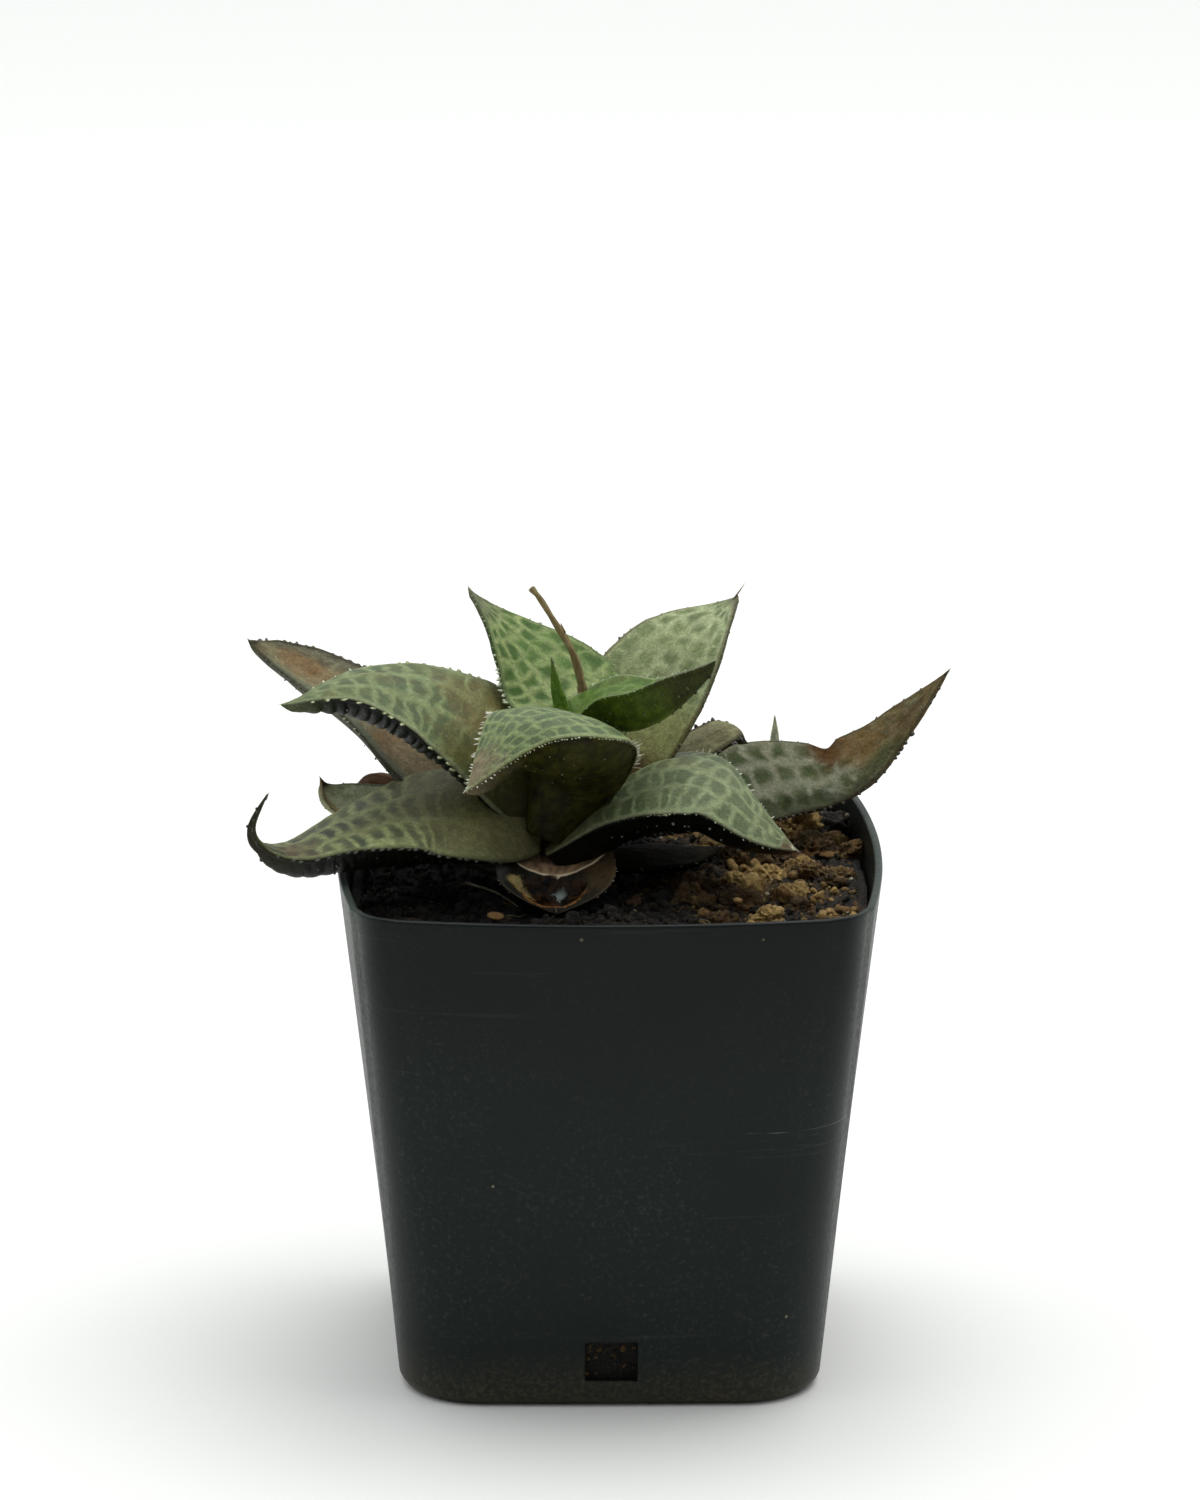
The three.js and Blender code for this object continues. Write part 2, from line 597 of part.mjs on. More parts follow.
function stalkSkin(grow) {
  const curve = new THREE.CatmullRomCurve3(STALK.map(([x, y, z]) => vec(x, y, z)), false, 'catmullrom', 0.5);
  const steps = 14;
  const rings = [];
  for (let k = 0; k <= steps; k += 1) {
    const t = k / steps;
    const along = curve.getTangent(t);
    const side = along.clone().cross(vec(0, 1, 0)).normalize();
    const other = along.clone().cross(side);
    const s = t * (STALK.length - 1);
    const n = Math.min(STALK.length - 2, Math.floor(s));
    const radius = lerp(STALK[n][3], STALK[n + 1][3], s - n) + grow;
    const ring = [];
    for (let j = 0; j < 8; j += 1) {
      const a = (j * Math.PI) / 4;
      ring.push(curve.getPoint(t)
        .addScaledVector(side, radius * Math.cos(a))
        .addScaledVector(other, radius * Math.sin(a)));
    }
    rings.push(ring);
  }
  const start = curve.getPoint(0).addScaledVector(curve.getTangent(0), -grow);
  const end = curve.getPoint(1).addScaledVector(curve.getTangent(1), 0.25 + grow);
  return skin(rings, start, end);
}

// ---- the object ---------------------------------------------------------

const group = new THREE.Group();
group.name = 'potted_haworthia';

function place(name, geometry, look, roughness) {
  const material = new THREE.MeshStandardMaterial({ color: COLOURS[look], roughness, metalness: 0 });
  const mesh = new THREE.Mesh(geometry, material);
  mesh.name = name;
  group.add(mesh);
}

// The inner pieces keep their whole form. Each one further out is cut back,
// 0.3 mm clear, where it would run into a piece already placed.
const stalkCut = toSolid(stalkSkin(GAP));
const stem = toSolid(stemSkin(0)).subtract(stalkCut);
const stemCut = toSolid(stemSkin(GAP));
const cuts = [stemCut, stalkCut];
const grown = Object.fromEntries(
  Object.entries(LEAVES).map(([name, leaf]) => [name, leafSkin(leaf, GAP)]),
);

place('pot', buildPot(), 'pot', 0.5);
place('plant_stem', toGeometry(stem), 'stem', 0.8);
place('flower_stalk', stalkSkin(0), 'stalk', 0.8);

let seed = 11;
const leafCuts = [];
for (const [name, leaf] of Object.entries(LEAVES)) {
  const others = Object.entries(grown).filter(([n]) => n !== name).map(([, g]) => g);
  let solid = toSolid(leafSkin(leaf, 0, others, seed));
  for (const cut of [...cuts, ...leafCuts]) {
    solid = solid.subtract(cut);
  }
  if (name === 'leaf_front_dead') {
    solid = solid.subtract(toSolid(hollowSkin()));
  }
  leafCuts.push(toSolid(grown[name]));
  place(name, toGeometry(solid), leaf.look, 0.5);
  seed += 1;
}

place('soil', buildSoil([stemCut, ...leafCuts]), 'soil', 0.95);

export default group;
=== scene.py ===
import math
import bpy
import numpy as np
from mathutils import Matrix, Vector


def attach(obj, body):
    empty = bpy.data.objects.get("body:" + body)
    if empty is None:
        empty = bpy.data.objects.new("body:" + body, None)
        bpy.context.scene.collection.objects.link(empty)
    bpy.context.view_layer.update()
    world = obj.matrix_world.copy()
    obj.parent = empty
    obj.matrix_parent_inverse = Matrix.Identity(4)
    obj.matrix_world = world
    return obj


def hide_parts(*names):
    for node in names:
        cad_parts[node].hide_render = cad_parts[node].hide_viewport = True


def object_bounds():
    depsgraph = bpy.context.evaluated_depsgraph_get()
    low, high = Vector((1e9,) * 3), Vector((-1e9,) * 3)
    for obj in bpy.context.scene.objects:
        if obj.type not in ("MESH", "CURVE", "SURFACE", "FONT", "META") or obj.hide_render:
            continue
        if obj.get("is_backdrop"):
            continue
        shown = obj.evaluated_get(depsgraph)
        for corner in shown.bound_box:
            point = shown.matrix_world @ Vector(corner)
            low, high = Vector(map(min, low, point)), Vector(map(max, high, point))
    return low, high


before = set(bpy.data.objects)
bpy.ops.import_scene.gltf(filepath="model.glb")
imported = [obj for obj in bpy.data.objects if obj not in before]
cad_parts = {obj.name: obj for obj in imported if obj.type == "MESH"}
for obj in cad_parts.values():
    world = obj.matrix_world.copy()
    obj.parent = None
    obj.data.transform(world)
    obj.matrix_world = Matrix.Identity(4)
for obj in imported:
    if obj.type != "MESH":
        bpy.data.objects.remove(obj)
cad_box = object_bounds()
MM = 0.001

# ---- sizes, as in the part's source --------------------------------------

GAP = 0.3  # between meshes that touch
POT_HEIGHT = 71.2
POT_TOP = (37.5, 2.4, 6.4)  # half-width, swell of the sides, corner radius
POT_BASE = (29.0, 0.15, 11.4)  # the same at the base
POT_BASE_ROUND = 2.0
POT_WALL = 1.1
POT_FLOOR = 1.5
HOLE_WIDTH = 7.2
HOLE_LOW = 3.9
HOLE_HIGH = 9.8
FOOT_WIDTH = 10.0
FOOT_RISE = 0.35
SOIL_TOP = 66.0
STEM = (-6.6, 0.4, 54.0, 87.0, 4.2)  # x, y, low, top, radius
EDGE = 0.75  # thickness of a leaf's margin

# P: spine points in the upper face; roll at base, middle and tip; W: half-width, share of
# it at the base, where widest, fullness; arch: drop of the margins; thick: keel depth;
# plump: how soon the keel thins toward the tip (0.8 where not given); tail: where a dried
# tail starts and its half-width; notch: side, place, depth and reach
LEAVES = {
    "leaf_centre": dict(
        P=[(-5.7, -0.6, 88.4), (-6, -0.9, 91.5), (-6.9, -1.2, 95), (-7.9, -1.6, 98.6)], roll=(0, 0, 0),
        W=(1.7, 0.9, 0.15, 1.1), arch=-0.2, thick=1.2),
    "leaf_front": dict(
        P=[(-7.5, -2.4, 73.8), (-4.2, -1.9, 82.7), (-3.6, -5.0, 89.7), (-6.3, -10.8, 93.7),
           (-12.6, -17.3, 94), (-19.8, -24.4, 86)], roll=(-8, 5, -15), W=(10.2, 0.4, 0.66, 1.1),
        arch=2.1, thick=8.4, plump=0.6),
    "leaf_right_front": dict(
        P=[(-9, -4, 72.4), (-0.3, -3.6, 79.6), (7.6, -4.5, 83.4), (14.3, -6.4, 83),
           (19.9, -7.9, 78.4), (25.7, -7.1, 72.6)], roll=(3, -8, -7), W=(10.6, 0.34, 0.5, 1.9), arch=2,
        thick=7.2),
    "leaf_left": dict(
        P=[(-5.7, -2.6, 75.7), (-11.3, -3, 83.9), (-17.8, -3.3, 90.5), (-26.1, -3.7, 94.9),
           (-35.5, -5.4, 96.3), (-44.7, -8.7, 93.9)], roll=(68, 21, -7), W=(10.9, 0.5, 0.52, 1.7),
        arch=1.6, thick=5.5),
    "leaf_left_hooked": dict(
        P=[(-9.3, -4.2, 76.3), (-17.9, -7.9, 79.2), (-26.6, -8.8, 79.5), (-35.6, -10.9, 77.5),
           (-42.4, -13.5, 75.3), (-46.4, -15.4, 75.9), (-48, -16.4, 78.7), (-46.3, -17, 83.7)],
        roll=(56, -1, 40), W=(10.8, 0.4, 0.36, 1.3), arch=1, thick=6, tail=(0.74, 0.9)),
    "leaf_right_young": dict(
        P=[(-5.3, -1.4, 90.4), (-0.6, -2.1, 93.4), (4.4, -4.2, 94.4), (9.2, -6.1, 97),
           (14.2, -8, 99.8)], roll=(-21, 4, 3), W=(5.7, 0.6, 0.4, 1.4), arch=-1.1, thick=4.4),
    "leaf_back_left": dict(
        P=[(-3.9, 1.4, 84.3), (-4.8, 5.1, 89.6), (-8.3, 8.9, 93.6), (-13.2, 11.8, 98.3),
           (-19.3, 14.2, 104.4)], roll=(4, 8, -26), W=(9.8, 0.6, 0.42, 1.6), arch=-0.7, thick=2.6,
        plump=1.4),
    "leaf_back_right": dict(
        P=[(-2.8, 4.1, 75.7), (0.8, 6.4, 83), (5.2, 9, 90.3), (11.2, 11.6, 97.8), (18, 14.8, 103.1)],
        roll=(-18, -16, 11), W=(10.7, 0.55, 0.55, 2.2), arch=-0.7, thick=2.6, plump=1.4),
    "leaf_right_dead": dict(
        P=[(-2.5, 2.6, 74.7), (10.6, 10.1, 76), (22.8, 15.3, 76.9), (34.5, 18.6, 78.5),
           (48, 22.4, 90.3)], roll=(-23, -33, -25), W=(7.3, 0.6, 0.45, 1.8), arch=0.6, thick=2.1,
        notch=(-1, 0.7, 0.3, 0.036)),
    "leaf_right_curled": dict(
        P=[(-1.9, 3.2, 75.1), (4.7, 7.9, 79.2), (11.3, 11, 82.8), (17, 12.9, 85), (19.5, 14.1, 82)],
        roll=(-10, -3, -13), W=(4.4, 0.6, 0.5, 2), arch=0.8, thick=1.6),
    "leaf_left_dead": dict(
        P=[(-10.3, 1.4, 69.1), (-19.2, 3.3, 75.7), (-26.9, 7.2, 82.2), (-33.5, 12, 88.2),
           (-41.3, 15.5, 92), (-49.9, 16.5, 96.4)], roll=(31, 10, 16), W=(7.2, 0.6, 0.5, 2.6),
        arch=-1.2, thick=2),
    "leaf_left_small": dict(
        P=[(-10.3, -0.6, 67.3), (-19.6, 1.3, 71), (-29, 3.7, 74.2), (-37.3, 5.4, 76.6),
           (-39.8, 6, 79.4)], roll=(10, 22, 16), W=(5.2, 0.5, 0.5, 1.8), arch=-1.2, thick=1.6,
        tail=(0.93, 0.5)),
    "leaf_left_scrap": dict(
        P=[(-9, 5, 68), (-18, 9, 72), (-27, 12, 76.6), (-33, 13.5, 77.8), (-36, 14.5, 74.5)],
        roll=(5, 5, 5), W=(3.6, 0.5, 0.6, 2.2), arch=1.4, thick=1.2),
    "leaf_right_low": dict(
        P=[(-4.6, -2.5, 70.1), (0.6, -2, 70.9), (5.9, -0.9, 70.9), (11, 0.8, 70.5), (15.7, 3.1, 70.3)],
        roll=(-4, -3, -7), W=(5, 0.6, 0.45, 1.8), arch=0.7, thick=2),
    "leaf_back": dict(
        P=[(-7, 5.2, 77), (-7.4, 10.5, 82.6), (-7.3, 18, 85.8), (-6.8, 26, 86.5), (-6, 33.5, 84.2)],
        roll=(0, 0, 0), W=(8.4, 0.5, 0.5, 1.8), arch=1.2, thick=3.8),
    "leaf_back_low_left": dict(
        P=[(-8.5, 4.8, 73), (-11.5, 12, 78.4), (-14.5, 20, 81.3), (-17.5, 27.5, 81.2),
           (-20.5, 34, 78.5)], roll=(0, 0, 0), W=(8, 0.5, 0.5, 1.8), arch=1.2, thick=3.4),
    "leaf_back_low_right": dict(
        P=[(-5.4, 4.8, 71.5), (-3, 12.5, 75.4), (-0.5, 20.5, 77), (2, 28, 76.4), (4, 34.5, 73.6)],
        roll=(0, 0, 0), W=(7, 0.5, 0.5, 1.8), arch=1.2, thick=3),
    "leaf_front_dead": dict(
        P=[(-7.6, -3.7, 70.9), (-7.5, -7.5, 70.6), (-7.5, -11.5, 69.9), (-7.4, -15, 68.9),
           (-7.4, -18.2, 67.1)], roll=(0, 0, 0), W=(8.2, 0.85, 0.5, 3.5), arch=-2.2, thick=3.2,
        plump=0.3),
    "offset_shoot": dict(
        P=[(23.3, 27, 61), (23.6, 27, 69), (23.5, 26.8, 76), (23.7, 26.5, 82.6)], roll=(0, 0, 0),
        W=(1, 1, 0.5, 2.5), arch=-0.3, thick=0.8),
}

# x, y, z, radius
STALK = [
    (-4.7, 1.6, 84, 0.75), (-3.4, 2.2, 88, 0.72), (-3.2, 2.6, 91, 0.7), (-3.9, 3.1, 94.1, 0.62),
    (-5, 3.3, 97.9, 0.52), (-7.6, 3.6, 102.4, 0.45), (-9.6, 3.8, 105.6, 0.4), (-10.7, 4, 106.9, 0.48),
]

# x, y, radius, rise
LUMPS = [
    (8.5, 1.5, 2.2, 0.7), (12.2, -3.3, 2.6, 1), (11.4, -10.4, 2.2, 0.4), (17.9, 8.3, 2.6, 1),
    (31.5, 24.5, 4, 1.2), (27, 21.5, 3.4, 1.2), (29, 13.1, 3.2, 0.9), (24.5, 9.5, 2.6, 0.8),
    (17.5, -8.8, 2, 0.8), (32, 1.1, 1.6, 0.6), (22, 1, 2.2, 0.6), (25, -6, 2.4, 0.5),
    (-24.7, -6.5, 2.4, 0.4), (-15.6, -12.8, 2, 0.4), (-27, 22, 3, 0.8), (24, 31, 2.6, 0.8),
]

# the ellipsoid that hollows the old front leaf
HOLLOW_AT = (-8.3, -13.9, 69.5)
HOLLOW_SIZE = (4.5, 3.2, 2.6)

# How each leaf looks. Colours are sRGB hex, places along a leaf run from 0 to 1 and places
# across it from -1 to 1.
#   cell, line, plain: the net's cells, its lines and the skin between; margin: the rim
#   net: rows across, cell length, line width, strength
#   root, base: colour of the plain base, and from where to where it fades out
#   end, tip: colour of the dry tip, and where it starts; spine: length of its last point
#   stain, stains: colour and strength of the stains; under, under2: the underside, where near black its
#       own dark green darkened further as painted shade
#   teeth: side (0 both), from, to, spacing, length, half-width, paleness, lift
#   tooth: their colours at the root, at a dull point and at a pale one
#   lumps: ridges under a margin: side, from, to, spacing, depth
#   patches: along, across, reach along, reach across, colour, strength
#   warts, wart: spacing and size of the warts below, and their colours
#   wrinkle: depth of the folds; rough, spec: the skin's roughness and shine
LIVE = dict(
    cell="536340", line="87946b", plain="6f7c58", root="6c6443", end="77705a", under="15170c",
    under2="272c17", margin="8a9070", stain="6a5c3c", stains=0.2, tooth=("7f8768", "9aa37c", "dcddca"),
    net=(4, 2.7, 0.5, 1.0), base=(0.08, 0.3), tip=0.93, teeth=((0, 0.3, 0.97, 1.3, 0.75, 0.24, 0.6),),
    warts=(2.4, 0.2), wart=("252b24", "76857c"), wrinkle=0.0, rough=0.45, lumps=(), patches=(),
    spine=0.5, spec=0.17,
)
DRY = dict(
    LIVE, cell="454a2c", line="716b4c", plain="5f5c3e", root="4c3c28", end="5c5039", under="1c170c",
    under2="2c2412", margin="3a3323", stain="573a1e", stains=0.5, tooth=("3c3626", "4c4430", "8f876c"),
    net=(4, 3.0, 0.8, 0.6), tip=0.7, teeth=((0, 0.2, 0.97, 1.2, 0.5, 0.3, 0.1),), warts=(3.2, 0.2),
    wart=("1d1a12", "4a4636"), wrinkle=0.2, rough=0.62, spec=0.12,
)
LOOKS = {
    "leaf_centre": dict(
        LIVE, cell="5a7824", line="6c8a36", plain="628029", root="4a661d", end="77755a",
        net=(2, 3, 0.4, 0.3), teeth=((0, 0.4, 0.95, 2.0, 0.4, 0.13, 0.5),), warts=(9, 0.1), tip=0.88,
        under="5f8028", under2="6c8c38"),
    "leaf_front": dict(
        LIVE, net=(7, 2.3, 0.42, 1.0), cell="506341", line="81935f",
        tooth=("8f9570", "a3aa84", "e8e6d6"),
        teeth=((1, 0.45, 1.0, 0.62, 0.95, 0.2, 1.0), (-1, 0.34, 0.56, 0.55, 1.3, 0.17, 0.75, 0.6),
               (-1, 0.5, 0.93, 0.5, 0.42, 0.16, 0.35), (-1, 0.93, 1.0, 0.6, 0.7, 0.15, 1.0)),
        # under and under2: this leaf's own dark underside, darkened further as painted shade
        under="1d1b08", under2="3b3b10", wart=("2b2a16", "8d8f70"), warts=(3.2, 0.14), end="857862",
        tip=0.95, margin="939c70", stains=0.12, patches=((0.97, 0.2, 0.09, 1.6, "83735b", 0.7),)),
    "leaf_right_front": dict(
        LIVE, cell="586644", line="8b986e", net=(4, 2.5, 0.45, 1.0), end="705232", tip=0.97,
        teeth=((-1, 0.4, 0.93, 0.95, 0.9, 0.22, 0.95, 0.7), (1, 0.2, 0.55, 0.8, 0.3, 0.2, 0.05),
               # under and under2: this leaf's own dark underside, darkened further as painted shade
               (1, 0.55, 0.9, 1.2, 0.35, 0.17, 0.6)), under="070805", under2="12140c",
        warts=(2.3, 0.25), wart=("0e100d", "9aa7a2"), base=(0.02, 0.24), root="7c7552",
        patches=((1.0, 0.0, 0.035, 2.0, "e2d8ba", 1.0), (0.95, 0.9, 0.03, 0.4, "5e3c20", 0.8))),
    "leaf_left": dict(
        LIVE, cell="4b5a3b", line="808f62", plain="65713f", stain="6a5c33", stains=0.35,
        base=(0.26, 0.46), root="5c572f", net=(3, 2.6, 0.5, 1.0), end="66704c",
        tooth=("7f8a58", "9ba675", "d3d6ba"),
        teeth=((-1, 0.3, 0.93, 1.6, 0.75, 0.5, 0.3), (1, 0.72, 0.95, 1.9, 0.85, 0.3, 1.0, 0.2),
               # under and under2: this leaf's own dark underside, darkened further as painted shade
               (1, 0.4, 0.72, 1.3, 0.6, 0.35, 0)), under="050704", under2="0d120d", warts=(2.2, 0.3),
        wart=("0e100e", "39423c"), lumps=((-1, 0.12, 0.97, 1.75, 0.6),),
        # the last patch, dark olive at the base, is painted shadow from the leaf above
        patches=((0.42, 0.3, 0.14, 0.8, "71592c", 0.45), (0.4, -0.6, 0.12, 0.6, "6b5c2e", 0.4),
                 (0.1, -0.5, 0.2, 1.5, "35331a", 0.8))),
    "leaf_left_hooked": dict(
        LIVE, cell="3a4330", line="8b9562", plain="727749", root="767050", net=(3, 2.5, 0.5, 1.0),
        base=(0.06, 0.26), end="322e1e", tip=0.66, stain="5f5238", stains=0.3,
        tooth=("2a2d1e", "33372a", "b3b79c"),
        teeth=((-1, 0.1, 0.72, 1.2, 0.5, 0.42, 0), (1, 0.3, 0.6, 2.4, 0.45, 0.3, 0.7),
               # under and under2: this leaf's own dark underside, darkened further as painted shade
               (0, 0.72, 0.95, 1.3, 0.35, 0.3, 0)), under="080905", under2="15170d", warts=(1.9, 0.3),
        wart=("0b0d09", "23271e"), margin="565c3c", lumps=((-1, 0.1, 0.75, 1.5, 0.3),),
        patches=((0.6, -0.3, 0.08, 0.9, "54402a", 0.7), (0.2, 0.2, 0.14, 1.4, "7d7850", 0.65))),
    "leaf_right_young": dict(
        LIVE, cell="3d5a12", line="66803a", plain="526e22", root="5d7733", end="2a1f10",
        net=(4, 2.2, 0.4, 0.7), base=(0.0, 0.08), tip=0.66, under="394b10", under2="52661a",
        tooth=("5d7240", "6f8450", "dfe3cf"),
        teeth=((-1, 0.02, 0.3, 0.8, 0.8, 0.2, 1.0), (-1, 0.3, 0.8, 0.8, 0.6, 0.16, 0.6, 0.6),
               (1, 0.1, 0.9, 1.1, 0.3, 0.18, 0.1)), warts=(1.5, 0.3), wart=("263a08", "3d5210"),
        patches=((0.95, 0.0, 0.22, 3.0, "2e2412", 0.85),)),
    "leaf_back_left": dict(
        LIVE, cell="3b5b1c", line="919f66", plain="66823f", root="607f35", end="6b6852",
        net=(5, 2.9, 0.62, 1.0), base=(0.0, 0.08), tip=0.87, tooth=("5f7044", "6d7a50", "dadfc6"),
        teeth=((-1, 0.28, 0.72, 1.1, 0.85, 0.34, 0.95), (-1, 0.72, 0.97, 0.9, 0.45, 0.25, 0.15),
               (1, 0.15, 0.95, 1.0, 0.6, 0.3, 0.3)), stains=0.05, under="2c4417", under2="3b561f",
        margin="445730"),
    "leaf_back_right": dict(
        LIVE, cell="65764a", line="aab58a", plain="8d9868", root="a29d63", end="5b5a48",
        net=(5, 3.0, 0.7, 0.9), base=(0.4, 0.68), tip=0.95, margin="54382a", stains=0.12,
        under="3a4524", under2="4c5a2e", tooth=("4f3a2a", "5f4d38", "8b8468"),
        teeth=((0, 0.3, 0.97, 1.0, 0.4, 0.25, 0.2),), spine=2.3,
        patches=((0.2, 0.4, 0.12, 1.6, "4c2f14", 0.85), (0.42, 0.6, 0.16, 0.6, "a3a268", 0.5))),
    "leaf_right_dead": dict(
        DRY, cell="3a4622", line="7d7f69", plain="6e725a", net=(3, 3.1, 0.62, 1.0), end="6a5a38",
        tip=0.76, stains=0.3, stain="5b4429", tooth=("26221a", "2d281c", "8f876c"),
        teeth=((1, 0.1, 0.97, 1.15, 0.4, 0.34, 0), (-1, 0.3, 0.95, 1.6, 0.4, 0.3, 0.1)),
        patches=((0.7, -0.85, 0.075, 0.9, "50330a", 0.95), (0.78, -0.3, 0.07, 0.9, "75592f", 0.6),
                 (0.66, 0.75, 0.03, 0.25, "8d9285", 0.4), (0.8, 0.6, 0.05, 0.4, "4a502c", 0.7),
                 (0.45, 1.0, 0.5, 0.5, "2b3214", 0.8), (0.9, 0.2, 0.05, 0.3, "46331c", 0.6))),
    "leaf_right_curled": dict(
        DRY, cell="737550", plain="8c8962", line="999673", end="33281a", tip=0.8, stains=0.2,
        tooth=("2a2418", "332a1c", "8f876c"),
        teeth=((-1, 0.15, 0.98, 1.0, 0.8, 0.33, 0.0, 1.2), (1, 0.2, 0.98, 1.0, 0.6, 0.35, 0.0)),
        patches=((0.95, 0.0, 0.12, 1.5, "3a2716", 0.9), (0.6, -1.05, 0.6, 0.3, "2c2315", 0.9))),
    "leaf_left_dead": dict(
        DRY, cell="6c664a", line="8b8568", plain="7e785a", root="746545", end="4d4630", stain="6b4a26",
        net=(3, 4, 1.0, 0.35), margin="3f3b2b", under="3f4233", under2="535646", tip=0.95, stains=0.6,
        tooth=("3a3626", "45412f", "b9b296"), wart=("3b3c2c", "5f604e"), warts=(2.0, 0.2),
        teeth=((1, 0.3, 0.97, 1.1, 0.5, 0.35, 0.0), (-1, 0.25, 0.65, 1.5, 0.5, 0.22, 0.9),
               (-1, 0.65, 0.97, 1.2, 0.35, 0.3, 0.0)),
        patches=((0.83, 0.2, 0.1, 0.8, "7c5c38", 0.65), (0.6, -0.95, 0.5, 0.3, "5d6350", 0.9),
                 (0.75, 0.9, 0.25, 0.4, "696d5c", 0.6), (0.42, 0.1, 0.14, 0.8, "8a7658", 0.6),
                 (0.6, 1.05, 0.5, 0.2, "3a372a", 0.8), (1.0, 0.0, 0.035, 1.5, "2c2819", 0.9))),
    "leaf_left_small": dict(
        DRY, cell="a3b089", line="bac29f", plain="b3bb96", end="4a2c10", tip=0.9, stains=0.3,
        under="757a5a", under2="8d9068", stain="6d5632", teeth=((0, 0.4, 0.85, 2.0, 0.3, 0.25, 0.0),),
        warts=(1.1, 0.22), wart=("4b3a20", "7b6038"),
        patches=((0.75, -0.95, 0.3, 0.4, "7d6434", 0.7), (0.95, 0.0, 0.08, 2.0, "3f2409", 0.95))),
    "leaf_left_scrap": dict(
        DRY, cell="5a3c1a", line="6c4822", plain="60411c", root="3f2a14", end="422b14", stains=0.7,
        teeth=()),
    # painted shade: this leaf is coloured near black, with its shine almost off, for the shadow it lies
    # in under the leaves above
    "leaf_right_low": dict(
        LIVE, cell="0b0c06", line="121408", plain="0e1006", root="0c0c06", end="141208",
        net=(4, 2.8, 0.5, 0.5), warts=(4, 0.15), under="060704", under2="0b0c05", margin="14160a",
        tooth=("1c1f0b", "22250f", "2a2c14"), spec=0.02),
    "leaf_back": dict(LIVE, patches=((0.5, 0.0, 0.2, 0.6, "77794c", 0.3),)),
    "leaf_back_low_left": dict(
        LIVE, cell="4a5840", line="7d8761", plain="687152", end="5c5540", tip=0.85),
    "leaf_back_low_right": dict(
        LIVE, cell="4d5a42", line="767e59", plain="606848", end="60503a", tip=0.8, stains=0.4),
    "leaf_front_dead": dict(
        DRY, cell="1e201d", line="2b2b26", plain="24251f", root="8d765a", end="14130f",
        net=(4, 2.4, 0.4, 0.1), base=(0.0, 0.02), tip=0.93, tooth=("7d705a", "8d7f66", "ddd2ba"),
        stains=0.1, under="0a0b0a", under2="141512", margin="5a5040", wrinkle=0.12, rough=0.5,
        warts=(3, 0.12), rot=True,
        teeth=((-1, 0.1, 0.6, 0.5, 0.4, 0.13, 1.0), (1, 0.1, 0.5, 0.6, 0.45, 0.13, 1.0),
               (0, 0.6, 0.9, 0.7, 0.3, 0.12, 0.5)), spine=0.15),
    "offset_shoot": dict(
        LIVE, cell="dde5c0", line="e8edd0", plain="e2e8c8", root="e4e2b0", end="b5b48c",
        net=(2, 3, 0.4, 0.2), teeth=(), warts=(9, 0.1), stains=0.1, under="d4dbb8", under2="dfe5c6",
        tip=0.95, margin="b5be95", spine=0.2),
}

# ---- small helpers -------------------------------------------------------


def lin(text):
    """A linear colour from sRGB hex."""
    c = [int(text[k : k + 2], 16) / 255 for k in (0, 2, 4)]
    return tuple(v / 12.92 if v <= 0.04045 else ((v + 0.055) / 1.055) ** 2.4 for v in c) + (1.0,)


def fract(x):
    return x - np.floor(x)


def hash3(i, j, k):
    return fract(np.sin(i * 127.1 + j * 311.7 + k * 74.7) * 43758.5453)


def noise3(p):
    """Smooth noise from -1 to 1 at points p (n, 3)."""
    i = np.floor(p)
    f = p - i
    f = f * f * (3 - 2 * f)
    out = 0
    for a in (0, 1):
        for b in (0, 1):
            for c in (0, 1):
                w = np.where((a, b, c), f, 1 - f)
                out = out + w[:, 0] * w[:, 1] * w[:, 2] * hash3(i[:, 0] + a, i[:, 1] + b, i[:, 2] + c)
    return out * 2 - 1


def smoothstep(x, a, b):
    x = np.clip((x - a) / (b - a), 0, 1)
    return x * x * (3 - 2 * x)


def mesh_object(name, points, faces):
    """A new object in the scene, from blocks of points in millimetres."""
    me = bpy.data.meshes.new(name)
    me.from_pydata((np.vstack(points) * MM).tolist(), [], faces)
    ob = bpy.data.objects.new(name, me)
    bpy.context.scene.collection.objects.link(ob)
    return ob


class Build:
    """Gathers points (mm), faces, point attributes and material numbers into one mesh."""

    def __init__(self):
        self.points, self.faces, self.mats, self.attrs, self.count = [], [], [], {}, 0

    def add(self, points, faces, mat=0, **attrs):
        points = np.asarray(points, float)
        for f in faces:
            self.faces.append([int(k) + self.count for k in f])
        self.mats += [mat] * len(faces)
        for name, v in attrs.items():
            self.attrs.setdefault(name, []).append((self.count, np.broadcast_to(v, (len(points),))))
        self.points.append(points)
        self.count += len(points)

    def make(self, name, materials, node):
        """The fine piece that stands for one node of the part."""
        ob = mesh_object(name, self.points, self.faces)
        me = ob.data
        for m in materials:
            me.materials.append(m)
        me.polygons.foreach_set("material_index", self.mats)
        me.polygons.foreach_set("use_smooth", [True] * len(me.polygons))
        for key, parts in self.attrs.items():
            values = np.zeros(self.count, np.float32)
            for start, v in parts:
                values[start : start + len(v)] = v
            me.attributes.new(key, "FLOAT", "POINT").data.foreach_set("value", values)
        me.update()
        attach(ob, "root")
        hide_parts(node)
        return ob


def grid_faces(n, m, closed=True):
    """Quads over n rings of m points."""
    out = []
    for i in range(n - 1):
        for j in range(m if closed else m - 1):
            k = (j + 1) % m
            out.append((i * m + j, i * m + k, (i + 1) * m + k, (i + 1) * m + j))
    return out


def tube_faces(n, m):
    """Quads over n rings of m points, and a fan over each end, to the two points that follow."""
    last = (n - 1) * m
    low = [(j, n * m, (j + 1) % m) for j in range(m)]
    high = [(last + j, last + (j + 1) % m, n * m + 1) for j in range(m)]
    return grid_faces(n, m) + low + high


# ---- node trees ----------------------------------------------------------


